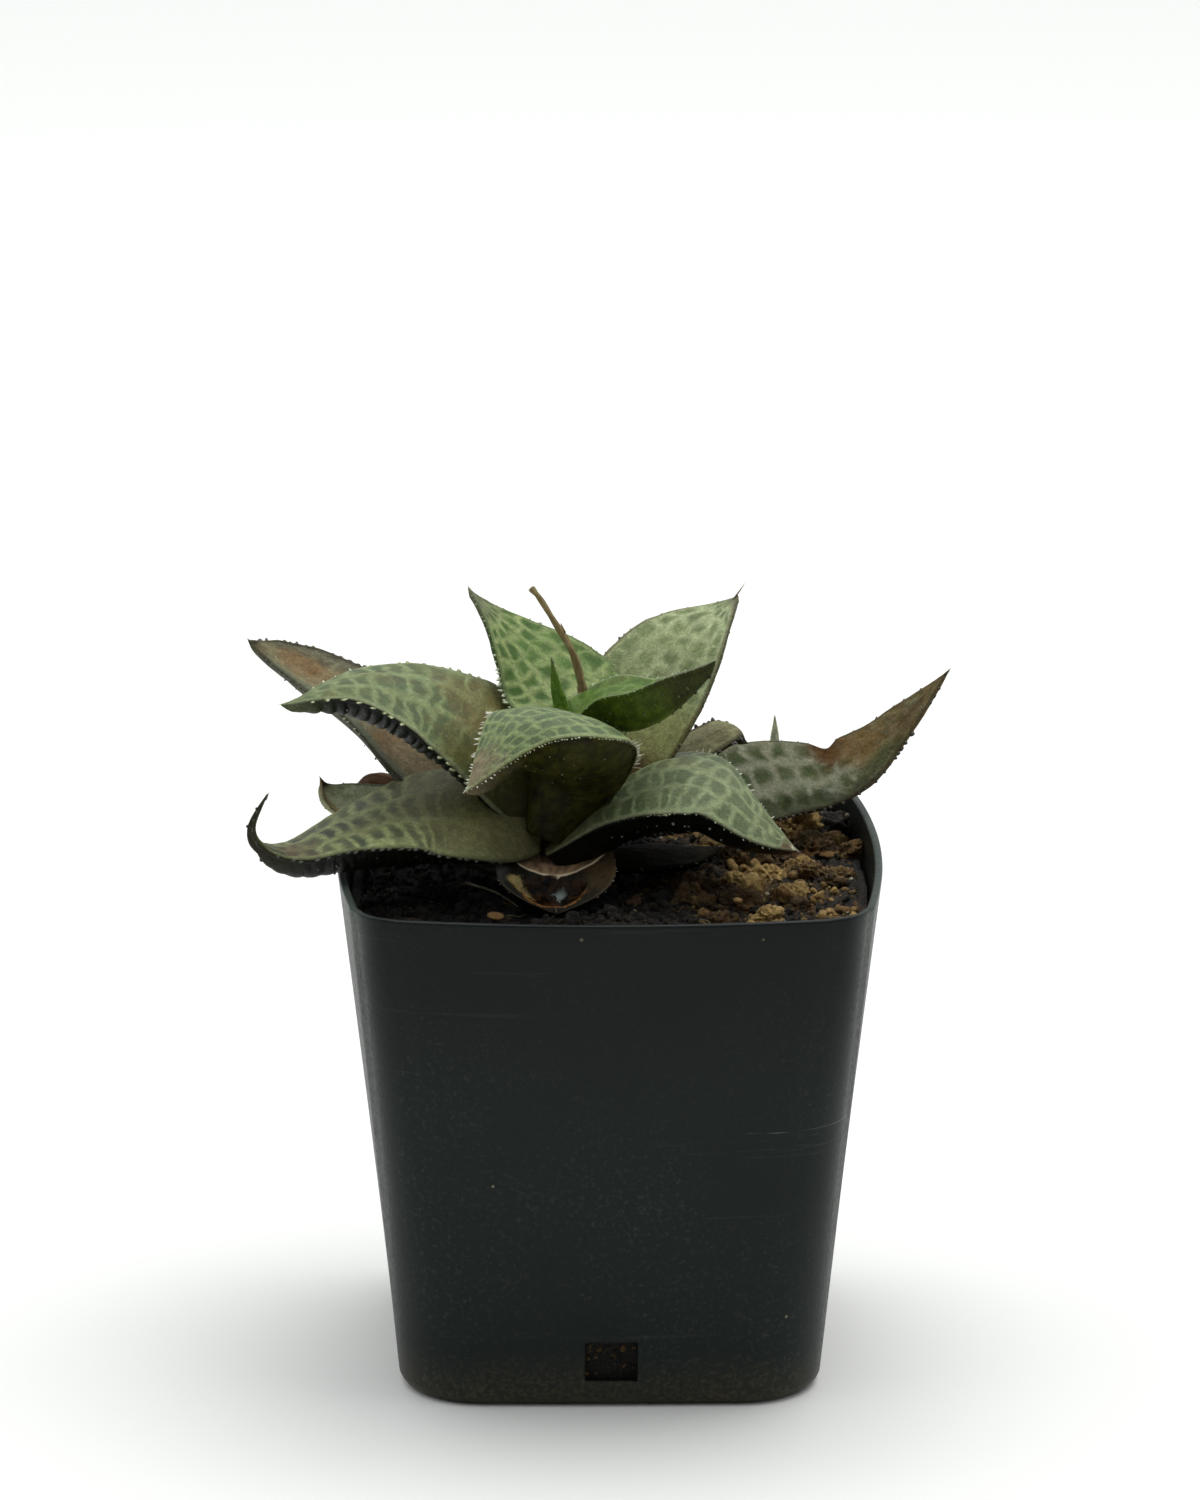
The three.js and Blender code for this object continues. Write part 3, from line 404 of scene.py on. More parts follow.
class Tree:
    """Short calls that add shader nodes to a material or a world and return their sockets."""

    def __init__(self, owner):
        self.owner = owner
        owner.use_nodes = True
        self.nt = owner.node_tree
        self.nt.nodes.clear()

    def node(self, kind, ins=(), **props):
        """A node; each input is another node's socket, a value, or a colour as sRGB hex."""
        n = self.nt.nodes.new("ShaderNode" + kind)
        for k, v in props.items():
            setattr(n, k, v)
        for k, v in dict(ins).items():
            if isinstance(v, bpy.types.NodeSocket):
                self.nt.links.new(v, n.inputs[k])
            else:
                n.inputs[k].default_value = lin(v) if isinstance(v, str) else v
        return n

    def attr(self, name):
        return self.node("Attribute", attribute_name=name).outputs["Fac"]

    def math(self, op, a, b=0.0, c=None):
        ins = {0: a, 1: b}
        if c is not None:
            ins[2] = c
        return self.node("Math", ins, operation=op).outputs[0]

    def add(self, a, b):
        return self.math("ADD", a, b)

    def mul(self, a, b):
        return self.math("MULTIPLY", a, b)

    def flip(self, a):
        return self.math("SUBTRACT", 1.0, a)

    def stir(self, a, noise, much):
        """The value a moved to and fro by a noise, over a span of `much`."""
        return self.add(a, self.mul(self.add(noise, -0.5), much))

    def oval(self, x, y, x0, y0, a, b):
        """The squared distance from (x0, y0), with x and y scaled by a and b."""
        return self.add(self.math("POWER", self.mul(self.add(x, -x0), a), 2.0),
                        self.math("POWER", self.mul(self.add(y, -y0), b), 2.0))

    def step(self, x, a, b, lo=0.0, hi=1.0):
        ends = {"Value": x, "From Min": a, "From Max": b, "To Min": lo, "To Max": hi}
        return self.node("MapRange", ends, interpolation_type="SMOOTHSTEP").outputs[0]

    def random(self, vector):
        """A random number for each whole-numbered vector."""
        return self.node("TexWhiteNoise", {"Vector": vector}).outputs["Value"]

    def xyz(self, x, y, z):
        return self.node("CombineXYZ", {0: x, 1: y, 2: z}).outputs[0]

    def place(self):
        """The point's place in millimetres."""
        v = self.node("TexCoord").outputs["Object"]
        return self.node("VectorMath", {0: v, "Scale": 1000.0}, operation="SCALE").outputs[0]

    def noise(self, vector, scale, detail=2.0, rough=0.5, color=False):
        ins = {"Vector": vector, "Scale": scale, "Detail": detail, "Roughness": rough}
        return self.node("TexNoise", ins).outputs["Color" if color else "Fac"]

    def mix(self, f, a, b, kind="MIX"):
        # 0, 6 and 7 are the factor and the two colours, and output 2 the mixed colour
        return self.node("Mix", {0: f, 6: a, 7: b}, data_type="RGBA", blend_type=kind).outputs[2]

    def bump(self, height, distance):
        return self.node("Bump", {"Height": height, "Distance": distance, "Strength": 1.0}).outputs[0]

    def finish(self, color, rough, **extra):
        """The finished material; extra inputs are written with _ for a space."""
        ins = {"Base Color": color, "Roughness": rough}
        ins.update({k.replace("_", " "): v for k, v in extra.items()})
        self.node("OutputMaterial", {0: self.node("BsdfPrincipled", ins).outputs[0]})
        return self.owner


def leaf_net(t, name, look, along, across, mm, place):
    """The net of pale lines: a seed, how near a line is, how strong the net is, its colour."""
    seed = float(sum(map(ord, name)) % 97)
    rows, cell, line, strength = look["net"]
    row_mm = 3.2
    above_zero = 40.0  # keeps the numbers of the rows positive
    warp = t.node("SeparateColor", {0: t.noise(place, 0.3, 2.0, 0.5, color=True)}).outputs
    x = t.stir(mm, warp[0], 3.0)
    y = t.stir(t.mul(across, rows / 2 * row_mm), warp[1], 2.6)
    v = t.add(t.mul(y, 1 / row_mm), 0.5 * (rows % 2) + above_zero)
    row = t.math("FLOOR", v)
    fy = t.math("FRACT", v)
    dy = t.mul(t.math("MINIMUM", fy, t.flip(fy)), row_mm)
    phase = t.node("TexWhiteNoise", {"W": t.add(row, seed)}, noise_dimensions="1D").outputs["Value"]
    sway = t.noise(t.xyz(t.mul(x, 0.5 / cell), t.mul(row, 7.3), seed), 1.0, 1.0)
    a = t.add(t.add(t.mul(x, 1 / cell), t.mul(phase, 3.0)), t.mul(sway, 0.8))
    fx = t.math("FRACT", a)
    dx = t.mul(t.math("MINIMUM", fx, t.flip(fx)), cell)
    # a cross line may fade where two cells run together
    gone = t.random(t.xyz(t.math("ROUND", a), row, seed + 3))
    dx = t.add(dx, t.step(gone, 0.8, 0.9, 0.0, 0.45))
    d = t.math("SMOOTH_MIN", dx, dy, 0.7)
    pick = t.random(t.xyz(t.math("FLOOR", a), row, seed))
    net = t.step(d, line * 0.1, line * 1.75, 1.0, 0.0)
    cells = t.mix(t.mul(pick, 0.5), look["cell"], look["plain"])
    cells = t.mix(t.step(d, 0.5, 1.3, 0.0, 0.35), cells, look["cell"])
    lines = t.mix(t.step(t.noise(place, 0.7, 2.0), 0.3, 0.7), look["plain"], look["line"])
    lines = t.mix(0.6, lines, look["line"])
    there = t.mul(t.step(along, *look["base"]), t.step(along, 0.9, 1.0, 1.0, 0.25))
    there = t.mul(t.mul(there, strength), t.step(t.noise(place, 0.13, 1.0), 0.25, 0.5, 0.6, 1.0))
    return seed, net, there, t.mix(net, cells, lines)


def rotten(t, color, along, across, mm, face, place, mott, spots, grain):
    """Tan inner face, a pale line across, and a wet hollow with an orange rim and a crust."""
    q, lip = t.attr("rot"), t.attr("lip")
    top = t.step(face, 0.55, 0.9)
    blur = t.noise(place, 1.1, 3.0, 0.6)
    bend = t.stir(t.add(along, t.mul(t.mul(across, across), 0.25)), mott, 0.05)
    strands = t.noise(t.xyz(t.mul(mm, 0.4), t.mul(across, 9.0), 2.0), 1.0, 2.0)
    inner = t.mix(t.step(strands, 0.35, 0.65), "c09f7c", "94795c")
    left = t.mul(t.step(across, 0.72, 1.0), t.step(along, 0.75, 0.5))
    color = t.mix(t.mul(t.mul(top, left), 0.8), color, t.mix(spots, "6b706a", "3c4340"))
    color = t.mix(t.mul(top, t.step(bend, 0.44, 0.40)), color, inner)
    right = t.mul(t.step(across, -0.3, -0.7), t.step(along, 0.95, 0.6))
    color = t.mix(t.mul(t.mul(top, right), 0.85), color, t.mix(spots, "54452e", "2f2618"))
    # the pale line, left out at the margins and in the hollow
    off_line = t.stir(t.math("ABSOLUTE", t.add(bend, -0.42)), blur, 0.02)
    clear = t.mul(t.step(t.math("ABSOLUTE", across), 0.96, 0.85), t.step(q, 1.06, 1.16))
    color = t.mix(t.mul(top, t.mul(t.step(off_line, 0.026, 0.012), clear)), color, "f3dfbd")
    rim = t.mul(t.step(t.stir(q, blur, 0.35), 1.22, 1.06), t.step(lip, -0.15, -0.5))
    color = t.mix(t.mul(t.mul(top, rim), 0.9), color, t.mix(spots, "9c6a34", "553413"))
    # the wet hollow, with a painted highlight in it for a glint, and a crust beside
    wet = t.mix(t.step(t.noise(place, 0.9, 3.0), 0.4, 0.65), "0c0a06", "3d2713")
    painted_glint = t.stir(t.oval(along, across, 0.53, -0.04, 20.0, 6.5), blur, 0.8)
    wet = t.mix(t.step(painted_glint, 1.5, -0.1), wet, "a3ada6")
    gloss = t.mul(top, t.step(q, 1.09, 1.03))
    color = t.mix(gloss, color, wet)
    crust = t.step(t.stir(t.oval(along, across, 0.62, 0.6, 9.0, 4.5), spots, 0.8), 1.3, 0.1)
    return t.mix(t.mul(top, crust), color, t.mix(grain, "dcc98c", "8a6f3a")), gloss


def leaf_material(name, look):
    """A leaf's skin. `t` and `u` are its places along and across, `s` its length run in
    millimetres, and `face` is 1 on the upper side and 0 on the underside."""
    t = Tree(bpy.data.materials.new(name))
    along, across, mm, face = t.attr("t"), t.attr("u"), t.attr("s"), t.attr("face")
    place = t.place()
    seed, net, there, netted = leaf_net(t, name, look, along, across, mm, place)
    body = t.mix(there, look["plain"], netted)
    # stains, the plain base, the dry tip and the margin
    mott = t.noise(place, 0.22, 3.0, 0.6)
    spots = t.step(t.noise(place, 0.6, 3.0, 0.65), 0.52, 0.66)
    body = t.mix(t.step(mott, 0.45, 0.7, 0.0, look["stains"]), body, look["stain"])
    body = t.mix(t.mul(spots, 0.4 * look["stains"]), body, look["end"])
    fade_from, fade_to = look["base"][0] * 0.2, look["base"][1] * 0.85
    body = t.mix(t.step(t.stir(along, mott, 0.2), fade_from, fade_to, 0.85, 0.0), body, look["root"])
    dry = t.step(t.stir(along, mott, 0.14), look["tip"] - 0.08, look["tip"] + 0.1)
    dried = t.mix(spots, look["end"], t.mix(0.5, look["end"], look["plain"]))
    body = t.mix(t.mul(dry, 0.85), body, dried)
    for t0, u0, far, wide, tint, much in look["patches"]:
        e = t.math("SQRT", t.oval(along, across, t0, u0, 1 / far, 1 / wide))
        e = t.stir(e, t.noise(place, 0.55, 4.0, 0.65), 1.6)
        body = t.mix(t.step(e, 1.15, 0.45, 0.0, much), body, tint)
    body = t.mix(t.step(t.math("ABSOLUTE", across), 0.95, 0.995, 0.0, 0.6), body, look["margin"])
    # the underside
    blotches = t.step(t.noise(place, 0.5, 3.0, 0.6), 0.35, 0.65)
    below = t.mix(blotches, look["under"], look["under2"])
    ribs = t.step(t.noise(t.xyz(t.mul(mm, 0.8), t.mul(across, 1.6), seed), 1.0, 2.0), 0.4, 0.62)
    below = t.mix(t.mul(ribs, 0.2), below, look["under2"])
    # painted light and shade on the ridges: crests take the paler underside colour, grooves go near black
    if look["lumps"]:
        below = t.mix(t.attr("ridge"), below, look["under2"])
        below = t.mix(t.attr("groove"), below, "040504")
    below = t.mix(t.mul(dry, 0.7), below, look["end"])
    color = t.mix(t.step(face, 0.62, 0.97), below, body)
    # fine light and dark
    grain = t.noise(place, 5.0, 3.0, 0.7)
    shade = t.step(grain, 0.25, 0.75, 0.74, 1.22)
    shade = t.mul(shade, t.step(t.noise(place, 2.3, 4.0, 0.8), 0.32, 0.66, 0.76, 1.14))
    shade = t.mul(shade, t.step(t.noise(place, 0.9, 3.0, 0.65), 0.35, 0.65, 0.86, 1.12))
    shade = t.node("CombineColor", {0: shade, 1: shade, 2: shade}).outputs[0]
    color = t.mix(1.0, color, shade, "MULTIPLY")
    rough = t.step(grain, 0.2, 0.8, look["rough"] - 0.06, look["rough"] + 0.12)
    if look.get("rot"):
        color, gloss = rotten(t, color, along, across, mm, face, place, mott, spots, grain)
        rough = t.add(t.mul(rough, t.flip(gloss)), t.mul(gloss, 0.12))
    # raised lines above, ribs below, grain and pits, and folds where the leaf is dry
    raised = t.mul(t.mul(t.mul(net, there), face), 0.35)
    ribbed = t.mul(t.mul(ribs, t.flip(face)), 0.3)
    pits = t.mul(t.noise(place, 1.3, 3.0, 0.6), 0.6)
    height = t.add(t.add(raised, ribbed), t.add(t.mul(grain, 0.35), pits))
    if look["wrinkle"]:
        folds = t.noise(t.xyz(t.mul(mm, 0.3), t.mul(across, 2.6), seed), 1.0, 3.0, 0.55)
        height = t.add(height, t.mul(folds, 1.6))
    return t.finish(color, rough, Normal=t.bump(height, 0.00022), Specular_IOR_Level=look["spec"],
                    Subsurface_Weight=0.05, Subsurface_Radius=(0.6, 1.0, 0.3), Subsurface_Scale=0.001)


def tooth_material(name, root, point, white=None):
    """Teeth and warts: `tip` runs from 0 at the root to 1 at the point, and `pale` picks
    the point's colour."""
    t = Tree(bpy.data.materials.new(name))
    place = t.place()
    n = t.noise(place, 1.5, 2.0)
    end = t.mix(t.attr("pale"), point, white) if white else point
    c = t.mix(t.step(t.stir(t.attr("tip"), n, 0.5), 0.1, 0.75), root, end)
    return t.finish(c, t.step(n, 0.2, 0.8, 0.4, 0.55), Normal=t.bump(n, 0.0001),
                    Subsurface_Weight=0.1, Subsurface_Radius=(1.0, 0.9, 0.6), Subsurface_Scale=0.0006)


def soil_material(name, dark, mid, pale, shift):
    """Soil and its crumbs: `tone` runs from black to pale crust, the black on the soil's top partly
    painted shade; `shift` alters the roughness.
    """
    t = Tree(bpy.data.materials.new(name))
    place = t.place()
    n = t.noise(place, 1.1, 4.0, 0.7)
    fine = t.noise(place, 4.5, 4.0, 0.75)
    rust = t.noise(place, 0.35, 3.0, 0.6)
    level = t.stir(t.attr("tone"), n, 0.9)
    c = t.mix(t.step(level, 0.2, 0.6), dark, mid)
    c = t.mix(t.step(level, 0.5, 1.0), c, pale)
    c = t.mix(t.mul(t.step(rust, 0.48, 0.62), t.step(level, 0.25, 0.7, 0.0, 0.55)), c, "865622")
    c = t.mix(t.step(fine, 0.55, 0.72, 0.0, 0.4), c, t.mix(0.4, pale, "b89a62"))
    c = t.mix(t.step(fine, 0.5, 0.3, 0.0, 0.75), c, dark)
    rough = t.step(fine, 0.2, 0.8, 0.75 + shift, 0.95 + shift * 0.5)
    return t.finish(c, rough, Normal=t.bump(t.add(t.mul(n, 1.6), fine), 0.0005))


# ---- leaves ----------------------------------------------------------------


def catmull(points, t):
    """Places on the smooth curve through the points, for t from 0 to 1."""
    p = np.asarray(points, float)
    p = np.vstack([2 * p[0] - p[1], p, 2 * p[-1] - p[-2]])
    n = len(p) - 3
    s = np.clip(np.asarray(t, float), 0, 1) * n
    i = np.minimum(s.astype(int), n - 1)
    w = (s - i)[:, None]
    a, b, c, d = p[i], p[i + 1], p[i + 2], p[i + 3]
    m, k = 0.5 * (c - a), 0.5 * (d - b)
    return b + m * w + (-3 * b + 3 * c - 2 * m - k) * w**2 + (2 * b - 2 * c + m + k) * w**3


def unit(v):
    return v / np.linalg.norm(v, axis=-1, keepdims=True)


def tangents(points, t):
    d = 1e-4
    return unit(catmull(points, np.minimum(t + d, 1)) - catmull(points, np.maximum(t - d, 0)))


def frames(leaf, t):
    """Place, and the directions along, to the side and up, at each t on the spine."""
    place, along = catmull(leaf["P"], t), tangents(leaf["P"], t)
    heading = np.subtract(leaf["P"][-1], leaf["P"][0]).astype(float)
    heading[2] = 0
    heading = unit(heading)
    side = np.array([heading[1], -heading[0], 0.0])
    side = unit(side - along * (along @ side)[:, None])
    up = np.cross(side, along)
    a, b, c = leaf["roll"]
    r = np.radians(a * (1 - t) * (1 - 2 * t) + b * 4 * t * (1 - t) + c * t * (2 * t - 1))[:, None]
    return place, along, side * np.cos(r) + up * np.sin(r), up * np.cos(r) - side * np.sin(r)


def half_width(leaf, t):
    """Half the leaf's width; a dried tail starts at tail[0], with half-width tail[1]."""
    half, root, widest, taper = leaf["W"]
    tail_from, tail_half = leaf.get("tail", (1, 0))
    s = t / tail_from
    share = 1 - np.clip((s - widest) / (1 - widest), 0, 1) ** taper
    low = root + (1 - root) * (1 - (1 - np.minimum(s / widest, 1)) ** 2)
    share = np.where(s < widest, low, share)
    h = tail_half + (half - tail_half) * share
    if tail_half:
        past = np.clip((t - tail_from) / (1 - tail_from), 0, 1)
        h = np.where(t >= tail_from, tail_half * (1 - past**1.3), h)
    return h


def notched(leaf, h, t, side):
    """The half-width h at one side, less the leaf's notch if it lies there."""
    at_side, at_t, deep, reach = leaf.get("notch", (0, 0, 0, 1))
    return h * (1 - deep * np.exp(-(((t - at_t) / reach) ** 2))) if at_side == side else h


def crowded(count):
    """Places across from -1 to 1, closer together at the margins."""
    turn = math.pi / 2 * 0.97
    return np.sin(np.linspace(-1, 1, count) * turn) / math.sin(turn)


UPPER = crowded(33)
LOWER = -crowded(31)
ARC = np.radians([67, 45, 22, 0, -22, -45, -67])


def section(leaf, t):
    """Across and drop (n, m) of the closed section at each t, with u and face."""
    h = half_width(leaf, t)
    share = h / leaf["W"][0]
    widest = leaf["W"][2]
    full = np.where(t < widest, 0.7 + 0.3 * t / widest, np.maximum(share, 0) ** leaf.get("plump", 0.8))
    keel = leaf["thick"] * full
    r = np.minimum(EDGE / 2, 0.4 * h + 0.06)
    sides = {side: np.maximum(notched(leaf, h, t, side) - r, 0.02) for side in (-1, 1)}
    cols = []
    arch = leaf["arch"] * share

    def at(u, drop, face, past=0.0):
        x = u * (sides[-1 if u < 0 else 1] + past)
        bow = arch * np.clip(x / np.maximum(h, 0.05), -1, 1) ** 2
        cols.append((x, bow + drop, np.full(len(t), u), face))

    def rounded(side, arc):
        for a in arc:
            at(side, r - r * np.sin(a), 0.5 + 0.5 * math.sin(a), r * np.cos(a))

    for u in UPPER:
        at(u, 0 * t, 1.0)
    rounded(1.0, ARC)
    for u in LOWER:
        at(u, 2 * r + keel * (1 - abs(u) ** 3), 0.0)
    rounded(-1.0, ARC[::-1])
    x = np.stack([c[0] for c in cols], 1)
    d = np.stack([c[1] for c in cols], 1)
    u = np.stack([c[2] for c in cols], 1)
    face = np.array([c[3] for c in cols])
    return x, d, u, face, h, r


def spike(build, root, tip, width, normal, mat, bend=0.0, sides=5, blunt=False, flat=0.8, **attrs):
    """A small tapered point, or a blunt wart, from root to tip."""
    root, tip = np.asarray(root, float), np.asarray(tip, float)
    length = np.linalg.norm(tip - root)
    axis = (tip - root) / length
    a = unit(np.cross(axis, normal))
    b = np.cross(a, axis)
    pts, shade = [], []
    levels = (0.0, 0.35, 0.65, 0.88)
    for k in levels:
        mid = root + axis * length * k + b * bend * length * k * k
        w = width * (math.sqrt(1 - k * k) if blunt else (1 - k) ** 0.8)
        for j in range(sides):
            q = 2 * math.pi * j / sides
            pts.append(mid + a * w * 1.25 * math.cos(q) + b * w * flat * math.sin(q))
            shade.append(k)
    pts.append(root + axis * length + b * bend * length)
    shade.append(1.0)
    faces = grid_faces(len(levels), sides)
    last = (len(levels) - 1) * sides
    faces += [(last + j, last + (j + 1) % sides, len(pts) - 1) for j in range(sides)]
    faces.append(tuple(range(sides))[::-1])
    build.add(pts, faces, mat, tip=np.array(shade), **attrs)


MARKS = np.linspace(0, 1, 400)  # where the length run along a spine is measured
RING_STEP = 0.32
SKIN, TOOTH, WART = 0, 1, 2  # a leaf's materials


def length_run(leaf):
    """The length from the leaf's base to each of MARKS."""
    line = catmull(leaf["P"], MARKS)
    return np.concatenate([[0], np.cumsum(np.linalg.norm(np.diff(line, axis=0), axis=1))])


def add_blade(build, leaf, look, number, run):
    """The blade's closed skin. Returns place, directions and edge radius at its end."""
    length = run[-1]
    n = int(length / RING_STEP)
    s = np.linspace(0, 1, n) ** 0.9 * length
    t = np.interp(s, run, MARKS)
    t[-1] = 0.9985
    place, along, side, up = frames(leaf, t)
    x, d, u, face, h, r = section(leaf, t)
    smooth = place[:, None] + side[:, None] * x[..., None] - up[:, None] * d[..., None]
    m = smooth.shape[1]

    def noise(p):
        return noise3(p.reshape(-1, 3)).reshape(n, m)

    # uneven growth, and folds where the leaf has dried
    out = side[:, None] * u[..., None] * 0.8 + up[:, None] * (face * 2 - 1)[None, :, None]
    out = out / np.maximum(np.linalg.norm(out, axis=2, keepdims=True), 0.3)
    ends = np.clip(h / 2.5, 0, 1)[:, None]
    push = 0.16 * noise(smooth * 0.22 + number * 7.1) + 0.05 * noise(smooth * 0.9 + number * 3.7)
    push = push * ends
    if look["wrinkle"]:
        q = np.stack([s[:, None] * 0.1 + 0 * x, x * 0.75, np.full((n, m), number * 1.7)], 2)
        push = push + look["wrinkle"] * noise(q) * ends
    more = {}
    for sgn, t0, t1, step, deep in look["lumps"]:
        q = np.stack([s[:, None] * 0.35 + 0 * x, x * 0.4, np.full((n, m), 3.3)], 2)
        wave = np.sqrt(np.abs(np.sin(math.pi * (s[:, None] / step + 0.4 * noise(q)))))
        where = smoothstep(u * sgn, 0.1, 0.4) * smoothstep(u * sgn, 1.01, 0.93) * (face < 0.1)[None]
        where = where * (smoothstep(t, t0, t0 + 0.06) * smoothstep(t, t1, t1 - 0.06))[:, None]
        push = push + deep * (wave - 0.45) * where * ends
        # masks for painted light on the ridges' crests and painted shade in the grooves between them
        ridge, groove = smoothstep(wave, 0.75, 0.98), smoothstep(wave, 0.62, 0.2)
        more = dict(ridge=where * ridge, groove=where * groove)
    pts = smooth + out * push[..., None]
    if look.get("rot"):
        # the hollow: the upper face sinks to the wall of the ellipsoid
        v = (pts - HOLLOW_AT) / np.asarray(HOLLOW_SIZE)
        q = np.hypot(v[..., 0], v[..., 1]) * (1 + 0.12 * noise(smooth * 0.5 + 3))
        sink = HOLLOW_AT[2] - HOLLOW_SIZE[2] * np.sqrt(np.maximum(1 - q * q, 0))
        inside = (q < 1) & (face > 0.4)
        pts[..., 2] = np.where(inside, np.minimum(pts[..., 2], sink), pts[..., 2])
        more = dict(rot=q, lip=v[..., 1])
    start = place[0] - up[0] * (EDGE / 2 + leaf["thick"] * 0.35)
    end = place[-1] + along[-1] * 0.06 - up[-1] * r[-1]
    fields = dict(t=np.repeat(t, m), u=u, s=np.repeat(s, m), face=np.tile(face, n), **more)
    tips = dict(t=(0, 1), s=(0, length), face=(0, 0.5))  # at the start and the end
    build.add(np.vstack([pts.reshape(-1, 3), start, end]), tube_faces(n, m), SKIN,
              **{key: np.append(v, tips.get(key, (0, 0))) for key, v in fields.items()})
    return place[-1], along[-1], up[-1], r[-1]


def add_teeth(build, leaf, look, rng, run):
    """Teeth along the margins, at uneven gaps."""
    for side_of, t0, t1, gap, size0, wide0, pale, *lift in look["teeth"]:
        for sgn in (-1, 1) if side_of == 0 else (side_of,):
            go = np.interp(t0, MARKS, run)
            stop = min(np.interp(t1, MARKS, run), run[-1] - 0.3)
            while True:
                go += gap * rng.uniform(0.6, 1.4)
                if go > stop:
                    break
                if rng.random() < 0.08:
                    continue
                t = np.interp([go], run, MARKS)
                place, along, side, up = (v[0] for v in frames(leaf, t))
                h = half_width(leaf, t)[0]
                drop = leaf["arch"] * h / leaf["W"][0]
                h = notched(leaf, h, t[0], sgn)
                edge = place + side * sgn * (h - 0.12) - up * (drop + EDGE * rng.uniform(0.3, 0.55))
                size = size0 * rng.uniform(0.5, 1.25) * min(1, 0.5 + h / 3)
                rise = (lift[0] if lift else 0.0) + rng.uniform(-0.25, 0.3)
                aim = unit(side * sgn + along * rng.uniform(0.1, 0.8) + up * rise)
                wide = wide0 * rng.uniform(0.7, 1.3)
                spike(build, edge - aim * 0.15, edge + aim * size, wide, up, TOOTH,
                      bend=rng.uniform(-0.15, 0.2), blunt=pale == 0, flat=min(0.8, 0.2 / wide),
                      t=t[0], u=float(sgn), s=go, face=0.5, pale=pale * rng.uniform(0.7, 1.0))


def add_warts(build, leaf, look, rng, run):
    """Warts in loose rows across the underside."""
    step, size = look["warts"]
    for go in np.arange(0.2 * run[-1], 0.95 * run[-1], step):
        t = np.interp([go + rng.normal(0, step * 0.15)], run, MARKS)
        place, along, side, up = (v[0] for v in frames(leaf, t))
        x, drop, u, face, h, _ = section(leaf, t)
        x, drop, u = x[0], drop[0], u[0]
        lower = [k for k in range(len(face)) if face[k] == 0.0]
        count = max(1, int(2 * h[0] / (step * 1.15)))
        for i in range(count):
            if rng.random() < 0.2:
                continue
            across = -1 + 2 * (i + 0.5 + rng.uniform(-0.25, 0.25)) / count
            k = min(lower, key=lambda j: abs(u[j] - across))
            p = place + side * x[k] - up * drop[k]
            a, b = max(k - 1, lower[0]), min(k + 1, lower[-1])
            normal = unit(np.cross(side * (x[b] - x[a]) - up * (drop[b] - drop[a]), along))
            if normal @ up > 0:
                normal = -normal
            big = size * rng.uniform(0.6, 1.2)
            point = p + normal * big * 0.75 + along * big * 0.3
            spike(build, p - normal * big * 0.3, point, big, along, WART, sides=7, blunt=True,
                  t=t[0], u=across, s=go, face=0.0)


def make_leaf(name, leaf, number):
    rng = np.random.default_rng(1000 + number)
    look = LOOKS[name]
    run = length_run(leaf)
    build = Build()
    end, along, up, r = add_blade(build, leaf, look, number, run)
    add_teeth(build, leaf, look, rng, run)
    # the fine point at the end
    base = end - up * r
    spike(build, base - along * 0.9, base + (along * 0.94 + up * 0.34) * look["spine"], 0.2, up, TOOTH,
          t=1.0, u=0.0, s=run[-1], face=0.5, pale=0.3)
    add_warts(build, leaf, look, rng, run)
    materials = [leaf_material("net_" + name, look), tooth_material("tooth_" + name, *look["tooth"]),
                 tooth_material("wart_" + name, *look["wart"])]
    build.make("fine_" + name, materials, name)


DRY_LEAVES = ("leaf_right_dead", "leaf_right_curled", "leaf_left_scrap", "leaf_left_dead",
              "leaf_front_dead", "leaf_left_small", "leaf_right_low")
SLOTS = {name: "leaf_dry" for name in DRY_LEAVES}
SLOTS["offset_shoot"] = "shoot"

for number, (name, leaf) in enumerate(LEAVES.items()):
    make_leaf(name, leaf, number)

# ---- pot -----------------------------------------------------------------


def pot_ring(z, inset):
    """The pot's outline at height z, moved in by `inset`, with columns at the holes' sides."""
    k = z / POT_HEIGHT
    half, bulge, corner = (b + (a - b) * k for a, b in zip(POT_TOP, POT_BASE))
    half, corner = half - inset, corner - inset
    flat = half - bulge - 0.98 * corner
    radius = (flat * flat + bulge * bulge) / (2 * bulge)
    swing = math.asin(flat / radius)
    foot, hole = FOOT_WIDTH / 2, HOLE_WIDTH / 2
    xs = [-flat + (flat - foot) * j / 10 for j in range(10)] + [-foot, -hole, -hole / 3, hole / 3, hole]
    xs += [foot + (flat - foot) * j / 10 for j in range(11)]
    quarter = [(x, half - radius + math.sqrt(radius * radius - x * x)) for x in xs]
    middle = (flat + half - bulge - corner * (math.sin(swing) + math.cos(swing))) / 2
    for j in range(1, 12):
        a = math.pi / 2 - swing + (2 * swing - math.pi / 2) * j / 12
        quarter.append((middle + corner * math.cos(a), middle + corner * math.sin(a)))
    ring = []
    for turn in range(4):
        c, s = math.cos(-turn * math.pi / 2), math.sin(-turn * math.pi / 2)
        ring += [(x * c - y * s, x * s + y * c, z) for x, y in quarter]
    return ring


